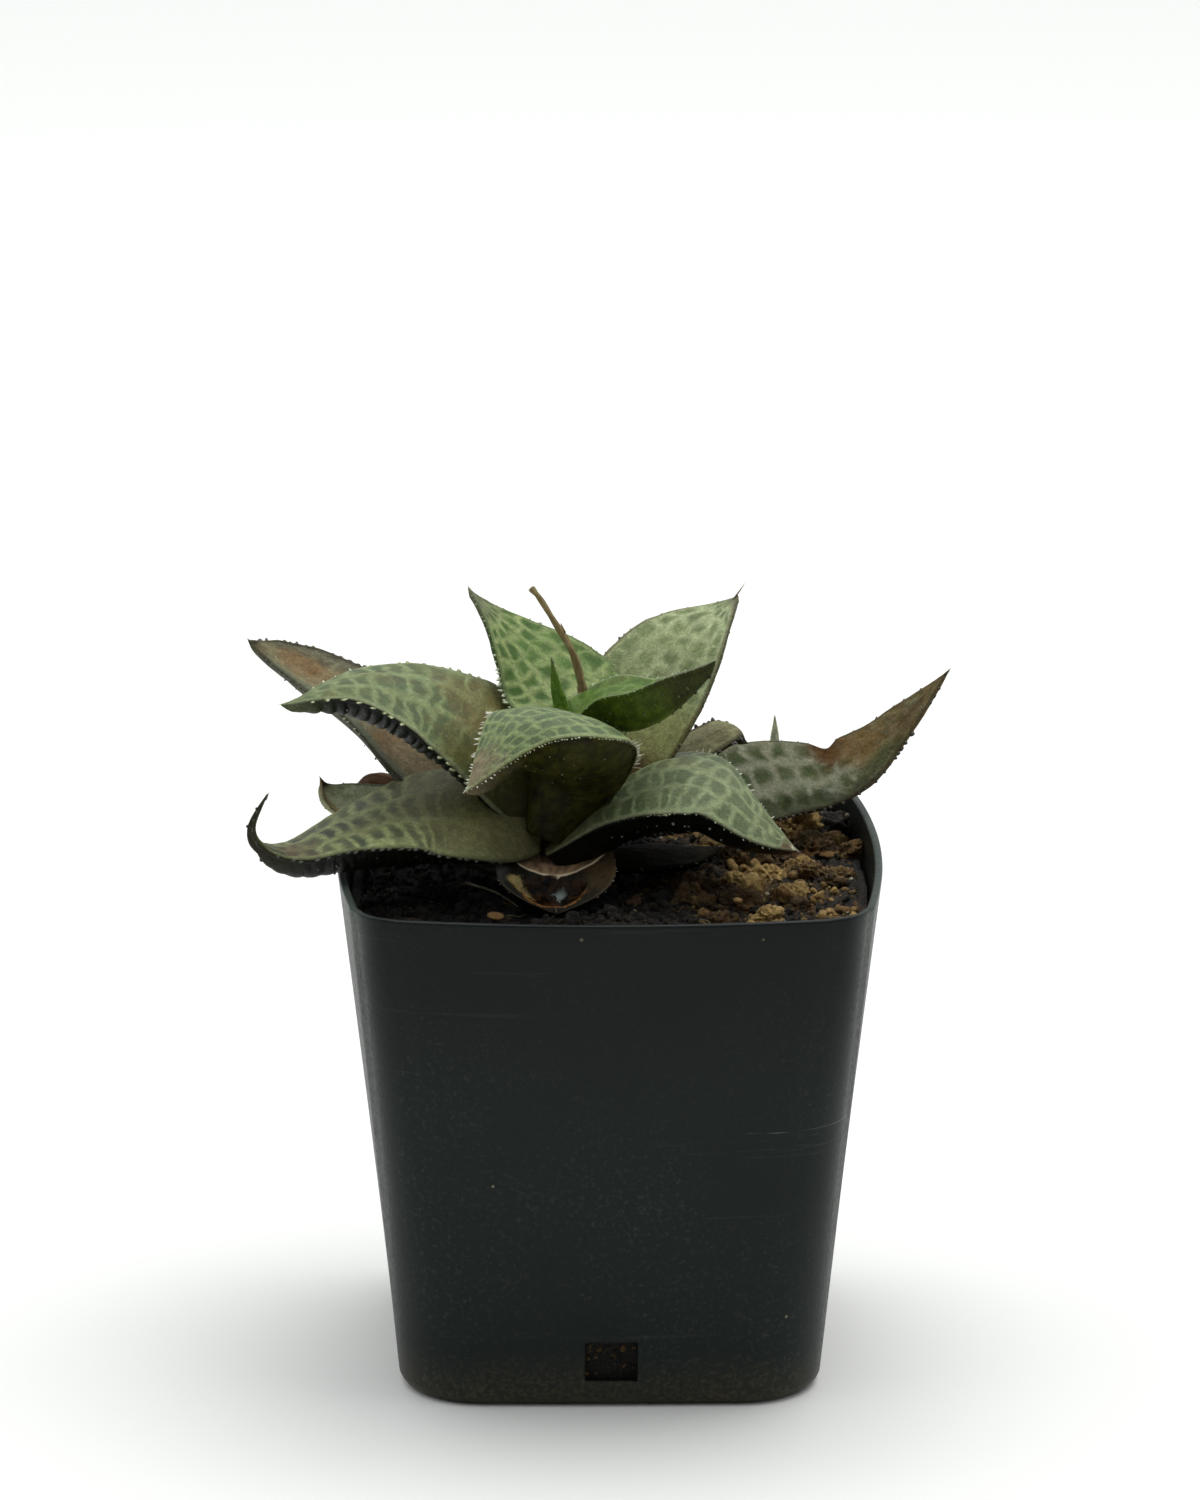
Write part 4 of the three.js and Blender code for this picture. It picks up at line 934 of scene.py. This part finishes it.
def pot_material():
    t = Tree(bpy.data.materials.new("pot_plastic_fine"))
    place = t.place()
    xyz = t.node("SeparateXYZ", {0: place}).outputs
    cloud = t.noise(place, 0.05, 3.0, 0.6)
    fine = t.noise(place, 1.4, 4.0, 0.7)
    spots = t.node("TexVoronoi", {"Vector": place, "Scale": 0.25}, feature="F1").outputs
    few = t.step(t.node("SeparateColor", {0: spots["Color"]}).outputs[0], 0.86, 0.88)
    speck = t.add(spots["Distance"], t.mul(t.flip(few), 9.0))
    c = t.mix(cloud, "121819", "16201d")
    # dust, thicker toward the base, and pale specks
    dust = t.mul(t.step(fine, 0.5, 0.8), t.step(cloud, 0.35, 0.7, 0.2, 1.0))
    c = t.mix(t.mul(dust, 0.14), c, "8d8b7a")
    low = t.step(t.stir(xyz[2], cloud, 6.0), 9.0, 0.5)
    c = t.mix(t.mul(t.mul(low, t.step(fine, 0.4, 0.7, 0.3, 1.0)), 0.32), c, "6b6046")
    c = t.mix(t.step(speck, 0.085, 0.045, 0.0, 0.5), c, "a49c82")
    # painted shade, darkening the wall toward the rim, and painted light, paler where the wall turns the
    # corner at the sides near the top
    c = t.mix(t.step(xyz[2], 40.0, 67.0, 0.0, 0.55), c, "080b0a")
    side = t.mul(t.step(t.math("ABSOLUTE", xyz[0]), 31.0, 36.5), t.step(xyz[2], 60.0, 70.0))
    c = t.mix(t.mul(side, 0.22), c, "6f7c70")
    # painted shade on the inner wall, near black and a little uneven
    c = t.mix(t.mul(t.attr("inner"), t.step(fine, 0.2, 0.7, 0.95, 0.8)), c, "0b0c08")
    # long scratches, plainest in a smear at mid height on the right
    drawn_out = {"Vector": place, "Rotation": (0.0, math.radians(8), 0.0), "Scale": (0.02, 0.02, 0.55)}
    scratch = t.step(t.noise(t.node("Mapping", drawn_out).outputs[0], 1.0, 4.0, 0.75), 0.62, 0.72)
    band = t.mul(t.step(xyz[2], 36.0, 44.0), t.step(xyz[2], 44.0, 52.0, 1.0, 0.0))
    smear = t.mul(t.mul(scratch, band), t.step(xyz[0], 4.0, 18.0))
    c = t.mix(t.mul(scratch, 0.02), c, "9aa09a")
    c = t.mix(t.mul(smear, 0.35), c, "b9bdb6")
    rough = t.add(t.step(fine, 0.3, 0.8, 0.34, 0.5), t.mul(dust, 0.15))
    height = t.add(t.mul(t.noise(place, 3.0, 2.0), 0.6), t.mul(scratch, 0.2))
    return t.finish(c, rough, Normal=t.bump(height, 0.00006), Specular_IOR_Level=0.14)


QUARTERS = ((1, 0), (0, 1), (-1, 0), (0, -1))  # cosine and sine of the turn to each side


def bake(ob):
    """Keep the result of the object's modifiers as its mesh."""
    graph = bpy.context.evaluated_depsgraph_get()
    me = bpy.data.meshes.new_from_object(ob.evaluated_get(graph))
    ob.modifiers.clear()
    ob.data = me


def make_pot():
    lip = ((0.4, 0.0), (0.22, 0.04), (0.08, 0.16), (0.0, 0.36))  # below the top, inset
    levels = []
    for turn in range(0, 91, 10):
        a = math.radians(turn)
        levels.append((POT_BASE_ROUND * (1 - math.cos(a)), POT_BASE_ROUND * (1 - math.sin(a))))
    levels += [(z, 0.0) for z in (HOLE_LOW, HOLE_HIGH, 16, 24, 32, 40, 48, 56, 63, 68)]
    levels += [(POT_HEIGHT - below, inset) for below, inset in lip]
    levels += [(POT_HEIGHT - below, POT_WALL - inset) for below, inset in lip[:0:-1]]
    first_inside = len(levels)
    levels += [(z, POT_WALL) for z in (POT_HEIGHT - 0.4, 63, 48, 32, 16, HOLE_HIGH, HOLE_LOW, 3.0)]
    levels += [(POT_FLOOR + 0.4, POT_WALL + 0.5), (POT_FLOOR, POT_WALL + 1.7)]
    rings = [pot_ring(z, inset) for z, inset in levels]
    m = len(rings[0])
    build = Build()
    pts = np.vstack([np.array(rings).reshape(-1, 3), [0, 0, 0], [0, 0, POT_FLOOR]])
    inner = np.repeat([float(k >= first_inside) for k in range(len(rings))], m)
    build.add(pts, tube_faces(len(rings), m), 0, inner=np.append(inner, [0.0, 1.0]))
    ob = build.make("fine_pot", [pot_material()], "pot")
    # the drain hole and the foot gap in each side: width, depth, low, high
    cuts = ((HOLE_WIDTH, 6, HOLE_LOW, HOLE_HIGH), (FOOT_WIDTH, 10, -1, FOOT_RISE))
    box_faces = [(3, 2, 1, 0), (4, 5, 6, 7), (0, 1, 5, 4), (1, 2, 6, 5), (2, 3, 7, 6), (3, 0, 4, 7)]
    for c, s in QUARTERS:
        for wide, deep, low, high in cuts:
            box = []
            for z in (low, high):
                for x, y in ((-wide, -deep), (wide, -deep), (wide, deep), (-wide, deep)):
                    x, y = x / 2, y / 2 - POT_BASE[0]
                    box.append((x * c - y * s, x * s + y * c, z))
            cutter = mesh_object("tool", box, box_faces)
            mod = ob.modifiers.new("cut", "BOOLEAN")
            mod.operation, mod.object, mod.solver = "DIFFERENCE", cutter, "EXACT"
            bake(ob)
            bpy.data.objects.remove(cutter)
    mod = ob.modifiers.new("edge", "BEVEL")
    mod.width, mod.segments, mod.limit_method, mod.angle_limit = 0.00016, 2, "ANGLE", math.radians(50)
    bake(ob)
    ob.data.polygons.foreach_set("use_smooth", [True] * len(ob.data.polygons))
    ob.data.set_sharp_from_angle(angle=math.radians(38))


make_pot()

# ---- stem and stalk ------------------------------------------------------


def bark_material(name, low, high, spots, from_z, to_z):
    """Streaked bark whose colour turns from `low` to `high` between two heights."""
    t = Tree(bpy.data.materials.new(name))
    place = t.place()
    z = t.node("SeparateXYZ", {0: place}).outputs[2]
    n = t.noise(place, 0.9, 4.0, 0.7)
    drawn_out = t.node("Mapping", {"Vector": place, "Scale": (2.6, 2.6, 0.25)}).outputs[0]
    streak = t.noise(drawn_out, 1.0, 3.0, 0.6)
    c = t.mix(t.step(t.stir(z, n, 3.0), from_z, to_z), low, high)
    c = t.mix(t.step(streak, 0.35, 0.65, 0.0, 0.7), c, spots)
    c = t.mix(t.step(n, 0.6, 0.75, 0.0, 0.5), c, "2a1d10")
    return t.finish(c, t.step(n, 0.2, 0.8, 0.6, 0.8), Normal=t.bump(t.add(streak, n), 0.0003))


def make_stem():
    x0, y0, low, top, r = STEM
    heights = (low, low + 3, 74, 80, top - 1.5, top - 0.3)
    zs = np.linspace(low, top - 0.3, 110)
    radii = np.interp(zs, heights, r * np.array([0.75, 1, 1, 0.86, 0.74, 0.55]))
    cols = 64
    pts = []
    for z, q in zip(zs, radii):
        for j in range(cols):
            a = 2 * math.pi * j / cols
            # scars of fallen leaves, wound round the stem
            wind = math.sin(2 * math.pi * (z / 2.6) + 3 * a)
            w = q - 0.12 - 0.22 * max(0.0, wind) ** 3
            pts.append((x0 + w * math.cos(a), y0 + w * math.sin(a), z))
    pts = np.array(pts)
    pts[:, :2] += 0.12 * np.stack([noise3(pts * 0.8), noise3(pts * 0.8 + 9)], 1)
    build = Build()
    build.add(np.vstack([pts, [x0, y0, low], [x0, y0, top]]), tube_faces(len(zs), cols))
    bark = bark_material("stem_bark", "3b2c1b", "4e5230", "6a5233", 66, 80)
    build.make("fine_stem", [bark], "plant_stem")


def make_stalk():
    rng = np.random.default_rng(5)
    knots = np.array(STALK, float)
    n, cols = 90, 20
    t = np.linspace(0, 1, n)
    mid, along = catmull(knots[:, :3], t), tangents(knots[:, :3], t)
    side = unit(np.cross(along, (0, 1, 0)))
    other = np.cross(along, side)
    radius = np.interp(t * (len(knots) - 1), range(len(knots)), knots[:, 3])
    pts = []
    for k in range(n):
        for j in range(cols):
            a = 2 * math.pi * j / cols
            # five ribs that wind, and a slight knobbliness
            ribs = 0.93 + 0.07 * math.cos(5 * a + 3 * t[k])
            w = radius[k] * ribs + 0.05 * math.sin(t[k] * 40 + 2 * a)
            pts.append(mid[k] + side[k] * w * math.cos(a) + other[k] * w * math.sin(a))
    build = Build()
    build.add(np.vstack([pts, mid[:1], mid[-1:] + along[-1:] * 0.1]), tube_faces(n, cols))
    # the torn end, and two dried bracts on the way up
    for j in range(7):
        a = 2 * math.pi * j / 7
        root = mid[-1] + (side[-1] * math.cos(a) + other[-1] * math.sin(a)) * 0.3 - along[-1] * 0.2
        point = root + along[-1] * rng.uniform(0.25, 0.55) + side[-1] * rng.normal(0, 0.08)
        spike(build, root, point, 0.12, side[-1], 1)
    for k, turn in ((30, 0.4), (58, 3.5)):
        d = side[k] * math.cos(turn) + other[k] * math.sin(turn)
        root = mid[k] + d * (radius[k] - 0.1)
        spike(build, root, root + along[k] * 1.5 + d * 0.3, 0.35, d, 0)
    build.make("fine_stalk", [
        bark_material("stalk_dry", "684022", "806a40", "94875e", 88, 102),
        tooth_material("stalk_end", "8c8468", "dcd8c6"),
    ], "flower_stalk")


make_stem()
make_stalk()

# ---- soil ----------------------------------------------------------------


def relief(x, y):
    """Smooth noise from -1 to 1 over the plane, as in the part's source."""
    def grain(i, j):
        return fract(np.sin(i * 127.1 + j * 311.7) * 43758.5453) * 2 - 1

    i, j = np.floor(x), np.floor(y)
    u, v = smoothstep(x - i, 0, 1), smoothstep(y - j, 0, 1)
    a = grain(i, j) * (1 - u) + grain(i + 1, j) * u
    b = grain(i, j + 1) * (1 - u) + grain(i + 1, j + 1) * u
    return a * (1 - v) + b * v


def soil_height(x, y):
    """The soil's top as in the part's source."""
    return SOIL_TOP + 0.9 * relief(x / 9, y / 9) + 0.5 * relief(x / 3.6 + 7, y / 3.6)


def rough_height(x, y):
    p = np.stack([x, y, 0 * x], 1)
    h = soil_height(x, y) + 0.4 * noise3(p * 0.9) + 0.22 * noise3(p * 2.1 + 5)
    # cracks between crumbs
    return h - 0.7 * np.maximum(0, 0.25 - np.abs(noise3(p * 0.45 + 20))) / 0.25


def crust_and_shade(x, y):
    """0 where the soil is black, 1 on the pale crust at the right; the black toward the left is painted
    shade under the leaves, the noise the soil's own spread.
    """
    p = np.stack([x, y, 0 * x], 1)
    # painted shade: the soil is darker toward the left, under the leaves, and paler toward the right
    side = smoothstep(x + 0.2 * y, 0, 22)
    return np.clip(0.03 + 0.5 * side + 0.5 * noise3(p * 0.2 + 3) * (0.25 + side), 0, 1)


def point_of(field, x, y):
    """A field over the soil, at one point."""
    return float(field(np.array([x]), np.array([y]))[0])


# an icosahedron, and finer balls made from it
GOLD = (1 + 5**0.5) / 2
ICO = unit(np.array([
    (-1, GOLD, 0), (1, GOLD, 0), (-1, -GOLD, 0), (1, -GOLD, 0), (0, -1, GOLD), (0, 1, GOLD),
    (0, -1, -GOLD), (0, 1, -GOLD), (GOLD, 0, -1), (GOLD, 0, 1), (-GOLD, 0, -1), (-GOLD, 0, 1)], float))
ICO_FACES = [
    (0, 11, 5), (0, 5, 1), (0, 1, 7), (0, 7, 10), (0, 10, 11), (1, 5, 9), (5, 11, 4), (11, 10, 2),
    (10, 7, 6), (7, 1, 8), (3, 9, 4), (3, 4, 2), (3, 2, 6), (3, 6, 8), (3, 8, 9), (4, 9, 5), (2, 4, 11),
    (6, 2, 10), (8, 6, 7), (9, 8, 1)]


def finer(points, faces):
    """Each triangle of a unit ball in four."""
    pts, cache, out = list(points), {}, []

    def mid(a, b):
        key = (min(a, b), max(a, b))
        if key not in cache:
            v = pts[a] + pts[b]
            pts.append(v / np.linalg.norm(v))
            cache[key] = len(pts) - 1
        return cache[key]

    for a, b, c in faces:
        ab, bc, ca = mid(a, b), mid(b, c), mid(c, a)
        out += [(a, ab, ca), (b, bc, ab), (c, ca, bc), (ab, bc, ca)]
    return np.array(pts), out


BALL1 = (ICO, ICO_FACES)
BALL2 = finer(*BALL1)
BALL3 = finer(*BALL2)
BALL5 = finer(*finer(*BALL3))
ANY_TURN = 6.28


def turn_any(rng):
    """A random turn in space."""
    return np.linalg.qr(rng.normal(size=(3, 3)))[0]


def keep_in(p):
    """Points that would lie in the pot's wall or beyond it, moved in to its inner face."""
    k = p[:, 2] / POT_HEIGHT
    half, bulge, corner = (b + (a - b) * k for a, b in zip(POT_TOP, POT_BASE))
    x, y = np.abs(p[:, 0]), np.abs(p[:, 1])
    half = half - POT_WALL - 0.15 - bulge * (np.minimum(x, y) / half) ** 2
    corner = corner + 0.5
    qx, qy = x - half + corner, y - half + corner
    d = np.hypot(np.maximum(qx, 0), np.maximum(qy, 0)) + np.minimum(np.maximum(qx, qy), 0) - corner
    p[:, :2] *= (1 - 1.4 * np.maximum(d, 0) / np.maximum(np.hypot(x, y), 1))[:, None]
    return p


def crumb(build, rng, at, size, tone, ball, rough, flat, mat=0):
    """A rough lump. The finest balls make crumbly clods; clods and flakes lie level."""
    pts, faces = ball
    clod = len(pts) > 1000
    k = 1.7 if len(pts) > 50 else 1.0
    swell = 1 + rough * noise3(pts * k + rng.uniform(0, 90, 3))[:, None]
    if clod:
        # knobs and pits of several sizes
        near = rng.uniform(0, 90, 3)
        for much, many in ((0.22, 3.2), (0.14, 6.5), (0.07, 13)):
            swell = swell + much * (1 - 2.2 * np.abs(noise3(pts * many + near)))[:, None]
    stretch = np.array([rng.uniform(0.65, 1.3), rng.uniform(0.65, 1.3), flat * rng.uniform(0.75, 1.2)])
    turn = turn_any(rng)
    if flat < 0.5 or clod:
        a = rng.uniform(0, ANY_TURN)
        turn = np.array([[math.cos(a), -math.sin(a), 0], [math.sin(a), math.cos(a), 0], [0, 0, 1]])
    p = (pts * swell * stretch * size) @ turn.T
    build.add(keep_in(p + np.asarray(at)), faces, mat, tone=tone)


def thread(build, points, radius, tone, mat):
    """A fibre through the points, tapering."""
    cols, n = 6, 24
    t = np.linspace(0, 1, n)
    mid, along = catmull(points, t), tangents(points, t)
    side = unit(np.cross(along, (0.1, 0.2, 1)))
    other = np.cross(along, side)
    pts = []
    for k in range(n):
        w = radius * (1 - 0.5 * t[k])
        pts += [mid[k] + (side[k] * math.cos(a) + other[k] * math.sin(a)) * w
                for a in np.arange(cols) * 2 * math.pi / cols]
    build.add(pts, grid_faces(n, cols), mat, tone=tone)


PEAT, BARK, GRIT, FIBRE = 0, 1, 2, 3  # the soil's materials


def soil_body(build, inset):
    """The closed body of soil: base, sides as seen through the holes, and rough top."""
    edge = np.array(pot_ring(SOIL_TOP - 0.5, inset))
    floor = POT_FLOOR + GAP
    rounding = ((0, 2.0), (0.5, 0.8), (1.6, 0.0))
    rings = [np.array(pot_ring(floor + up, inset + more)) for up, more in rounding]
    for z in np.linspace(4.5, SOIL_TOP - 2, 60):
        ring = np.array(pot_ring(z, inset + 0.05))
        dent = 0.35 + 0.3 * noise3(ring * 0.9) + 0.15 * noise3(ring * 2.7)
        ring[:, :2] *= 1 - np.clip(dent, 0, 1)[:, None] / 30
        rings.append(ring)
    for share in np.linspace(1, 0, 96)[:-1]:
        ring = edge.copy()
        ring[:, :2] *= share
        ring[:, 2] = np.minimum(rough_height(ring[:, 0], ring[:, 1]), POT_HEIGHT - 1)
        if share == 1:
            ring[:, 2] -= 0.3
        rings.append(ring)
    centre = point_of(rough_height, 0.0, 0.0)
    pts = np.vstack([np.array(rings).reshape(-1, 3), [0, 0, floor], [0, 0, centre]])
    top_tone = 0.5 * crust_and_shade(pts[:, 0], pts[:, 1])
    build.add(pts, tube_faces(len(rings), len(edge)), PEAT, tone=np.where(pts[:, 2] > 60, top_tone, 0.0))


def has_room(x, y, room):
    """Whether a crumb `room` across lies within the pot's wall here."""
    x, y = abs(x), abs(y)
    half, corner = 34.4 - room, 6.0
    if x < half - corner or y < half - corner:
        return max(x, y) < half
    return math.hypot(x - half + corner, y - half + corner) < corner


def make_soil():
    rng = np.random.default_rng(77)
    inset = POT_WALL + GAP
    build = Build()
    soil_body(build, inset)

    def on_soil(x, y, lift):
        return x, y, point_of(rough_height, x, y) + lift

    # the larger clods
    for x, y, radius, rise in LUMPS:
        z = point_of(soil_height, x, y) + rise - radius * 0.3
        tone = point_of(crust_and_shade, x, y) + 0.15
        crumb(build, rng, (x, y, z), radius * 0.95, tone, BALL5, 0.35, 0.75)
    for x, y, radius in CLODS:
        tone = point_of(crust_and_shade, x, y) + rng.uniform(-0.1, 0.3)
        crumb(build, rng, on_soil(x, y, radius * 0.2), radius, tone, BALL5, 0.4, 0.8)
    # crumbs, finer ones in greater number: count, least size, greatest size, ball
    sorts = ((260, 0.7, 1.5, BALL3), (2600, 0.3, 0.8, BALL2), (6500, 0.12, 0.34, BALL1))
    for count, low, high, ball in sorts:
        for _ in range(count):
            x, y = rng.uniform(-36, 36, 2)
            size = rng.uniform(low, high) * (1 if x > -4 else 0.85)
            if has_room(x, y, size + 0.2):
                tone = np.clip(point_of(crust_and_shade, x, y) + rng.normal(0, 0.18), 0, 1.2)
                crumb(build, rng, on_soil(x, y, size * 0.15), size, tone, ball, 0.5, 0.8)
    # bits of bark
    for _ in range(70):
        x, y = rng.uniform(-34, 34, 2)
        if has_room(x, y, 2):
            size = rng.uniform(0.8, 1.9)
            crumb(build, rng, on_soil(x, y, 0.25), size, rng.uniform(0.2, 0.9), BALL2, 0.35, 0.3, BARK)
    # pale grit
    for _ in range(110):
        x, y = rng.uniform(-35, 35, 2)
        if has_room(x, y, 0.6):
            crumb(build, rng, on_soil(x, y, 0.15), rng.uniform(0.1, 0.27), 0.9, BALL2, 0.5, 0.7, GRIT)
    for x, y, z, size, kind in BITS:
        crumb(build, rng, (x, y, z), size, 1.0, BALL2, 0.3, 0.35 if kind == BARK else 0.8, kind)
    # fibres
    thread(build, [(-19.7, -4.5, 67.4), (-15.7, -9.7, 67.6), (-12.6, -14.7, 67.1)], 0.2, 0.9, FIBRE)
    for _ in range(45):
        x, y = rng.uniform(-33, 33, 2)
        if not has_room(x, y, 2.5):
            continue
        a, span = rng.uniform(0, ANY_TURN), rng.uniform(1.2, 3.2)
        line = []
        for k in (-1, -0.3, 0.4, 1):
            px = x + k * span * math.cos(a) + rng.normal(0, 0.25)
            py = y + k * span * math.sin(a) + rng.normal(0, 0.25)
            line.append(on_soil(px, py, 0.25 + rng.uniform(0, 0.3)))
        radius, tone = rng.uniform(0.05, 0.13), rng.uniform(0.2, 1)
        thread(build, line, radius, tone, FIBRE if rng.random() < 0.4 else BARK)
    # crumbs behind the drain holes
    for c, s in QUARTERS:
        for _ in range(70):
            x, z = rng.uniform(-4, 4), rng.uniform(3.6, 9.4)
            size = rng.uniform(0.3, 0.75)
            y = -(29 + 8.5 * z / POT_HEIGHT) + inset + size * 1.15 + 0.1
            mat = PEAT if rng.random() < 0.93 else GRIT
            crumb(build, rng, (x * c - y * s, x * s + y * c, z), size if mat == PEAT else 0.3,
                  rng.choice([0.0, 0.0, 0.05, 0.5]), BALL2, 0.3, 0.8, mat)
    build.make("fine_soil", [
        soil_material("soil_peat", "070603", "5a4420", "c9a865", 0.0),
        soil_material("soil_bark", "1c1408", "5f4320", "93733e", 0.0),
        soil_material("soil_grit", "7f7a60", "a9a286", "cdc6aa", -0.2),
        soil_material("soil_fibre", "6f6a4c", "9a9470", "b8b28e", -0.1),
    ], "soil")


# x, y, radius
CLODS = [
    (14.8, -16.6, 1.5), (13, -9.5, 1.3), (17.3, -1.4, 1.4), (8.6, -5.2, 1.2), (21.3, -15.7, 1.6),
    (27.2, 4.9, 1.8), (25.9, -11, 1.7), (10.7, -18.6, 1.2), (7.7, -2.8, 1.0), (34, 11.4, 1.6),
    (24.6, 2.4, 1.5), (27.6, 0.8, 1.6), (30.7, -0.8, 1.5), (28, 15, 1.7), (31.5, 17.5, 1.7),
]
# x, y, z, size, material
BITS = [
    (-15.6, -19.3, 67.2, 1.2, BARK), (17.2, -17.1, 68.6, 0.9, BARK), (33.2, -3.9, 67.6, 0.4, GRIT),
    (33.8, 20.5, 69.6, 0.3, GRIT), (21.3, -12.8, 68.2, 0.3, GRIT),
]

make_soil()

# ---- stage, light and camera ---------------------------------------------

# in millimetres; AIM is the direction of view, ROLL its turn in radians
CAMERA_AT = (-16.58, -962.83, 354.62)
AIM = (0.01531, 0.96285, -0.26962)
ROLL = 0.0025


def lamp(name, size, size_y, power, at, to, tint):
    """A rectangular lamp at one place, in metres, that shines toward another."""
    data = bpy.data.lights.new(name, "AREA")
    data.shape, data.size, data.size_y, data.energy, data.color = "RECTANGLE", size, size_y, power, tint
    ob = bpy.data.objects.new(name, data)
    bpy.context.scene.collection.objects.link(ob)
    z = unit(np.subtract(at, to).astype(float))
    x = unit(np.cross((0, 0, 1), z))
    y = np.cross(z, x)
    ob.matrix_world = Matrix([[x[k], y[k], z[k], at[k]] for k in range(3)] + [[0, 0, 0, 1]])
    ob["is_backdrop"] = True


def make_stage():
    # a pale floor that runs far behind, and a room dim on the viewer's side
    far, count = 30000, 13
    xs = np.linspace(-far, far, count)
    floor = mesh_object("floor", [(x, y, -0.02) for y in xs for x in xs], grid_faces(count, count, False))
    t = Tree(bpy.data.materials.new("floor_paper"))
    n = t.noise(t.place(), 0.02, 2.0)
    floor.data.materials.append(t.finish(t.mix(t.mul(n, 0.04), "efefec", "e6e6e2"), 0.85))
    floor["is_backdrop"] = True
    world = bpy.data.worlds.new("room")
    bpy.context.scene.world = world
    t = Tree(world)
    way = t.node("SeparateXYZ", {0: t.node("TexCoord").outputs["Generated"]}).outputs
    # brighter toward the back, and brighter above
    light = t.mul(t.step(way[1], -0.85, 0.15, 0.25, 1.0), t.step(way[2], 0.0, 1.0, 0.5, 1.6))
    back = t.node("Background", {"Color": (0.96, 0.985, 1.0, 1.0), "Strength": light})
    t.node("OutputWorld", {0: back.outputs[0]})
    lamp("overhead", 0.9, 0.7, 5.0, (0.15, 0.2, 1.1), (0, 0, 0.08), (1.0, 0.985, 0.95))


def make_camera():
    forward = unit(np.array(AIM))
    right = unit(np.cross(forward, (0, 0, 1)))
    up = np.cross(right, forward)
    r2 = right * math.cos(ROLL) + up * math.sin(ROLL)
    u2 = -right * math.sin(ROLL) + up * math.cos(ROLL)
    data = bpy.data.cameras.new("camera")
    data.sensor_fit, data.sensor_height, data.sensor_width, data.lens = "VERTICAL", 36.0, 36.0, 175.03
    data.clip_start, data.clip_end = 0.05, 200
    ob = bpy.data.objects.new("camera", data)
    rows = [[r2[k], u2[k], -forward[k], CAMERA_AT[k] * MM] for k in range(3)]
    ob.matrix_world = Matrix(rows + [[0, 0, 0, 1]])
    bpy.context.scene.collection.objects.link(ob)
    bpy.context.scene.camera = ob


make_stage()
make_camera()
bpy.context.scene.view_settings.view_transform = "Standard"
bpy.context.scene.view_settings.look = "None"

fine_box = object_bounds()


def plain(v):
    """Nested lists of plain numbers."""
    return [plain(k) for k in v] if hasattr(v, "__len__") else float(v)


{"cad": plain(cad_box), "visual": plain(fine_box)}
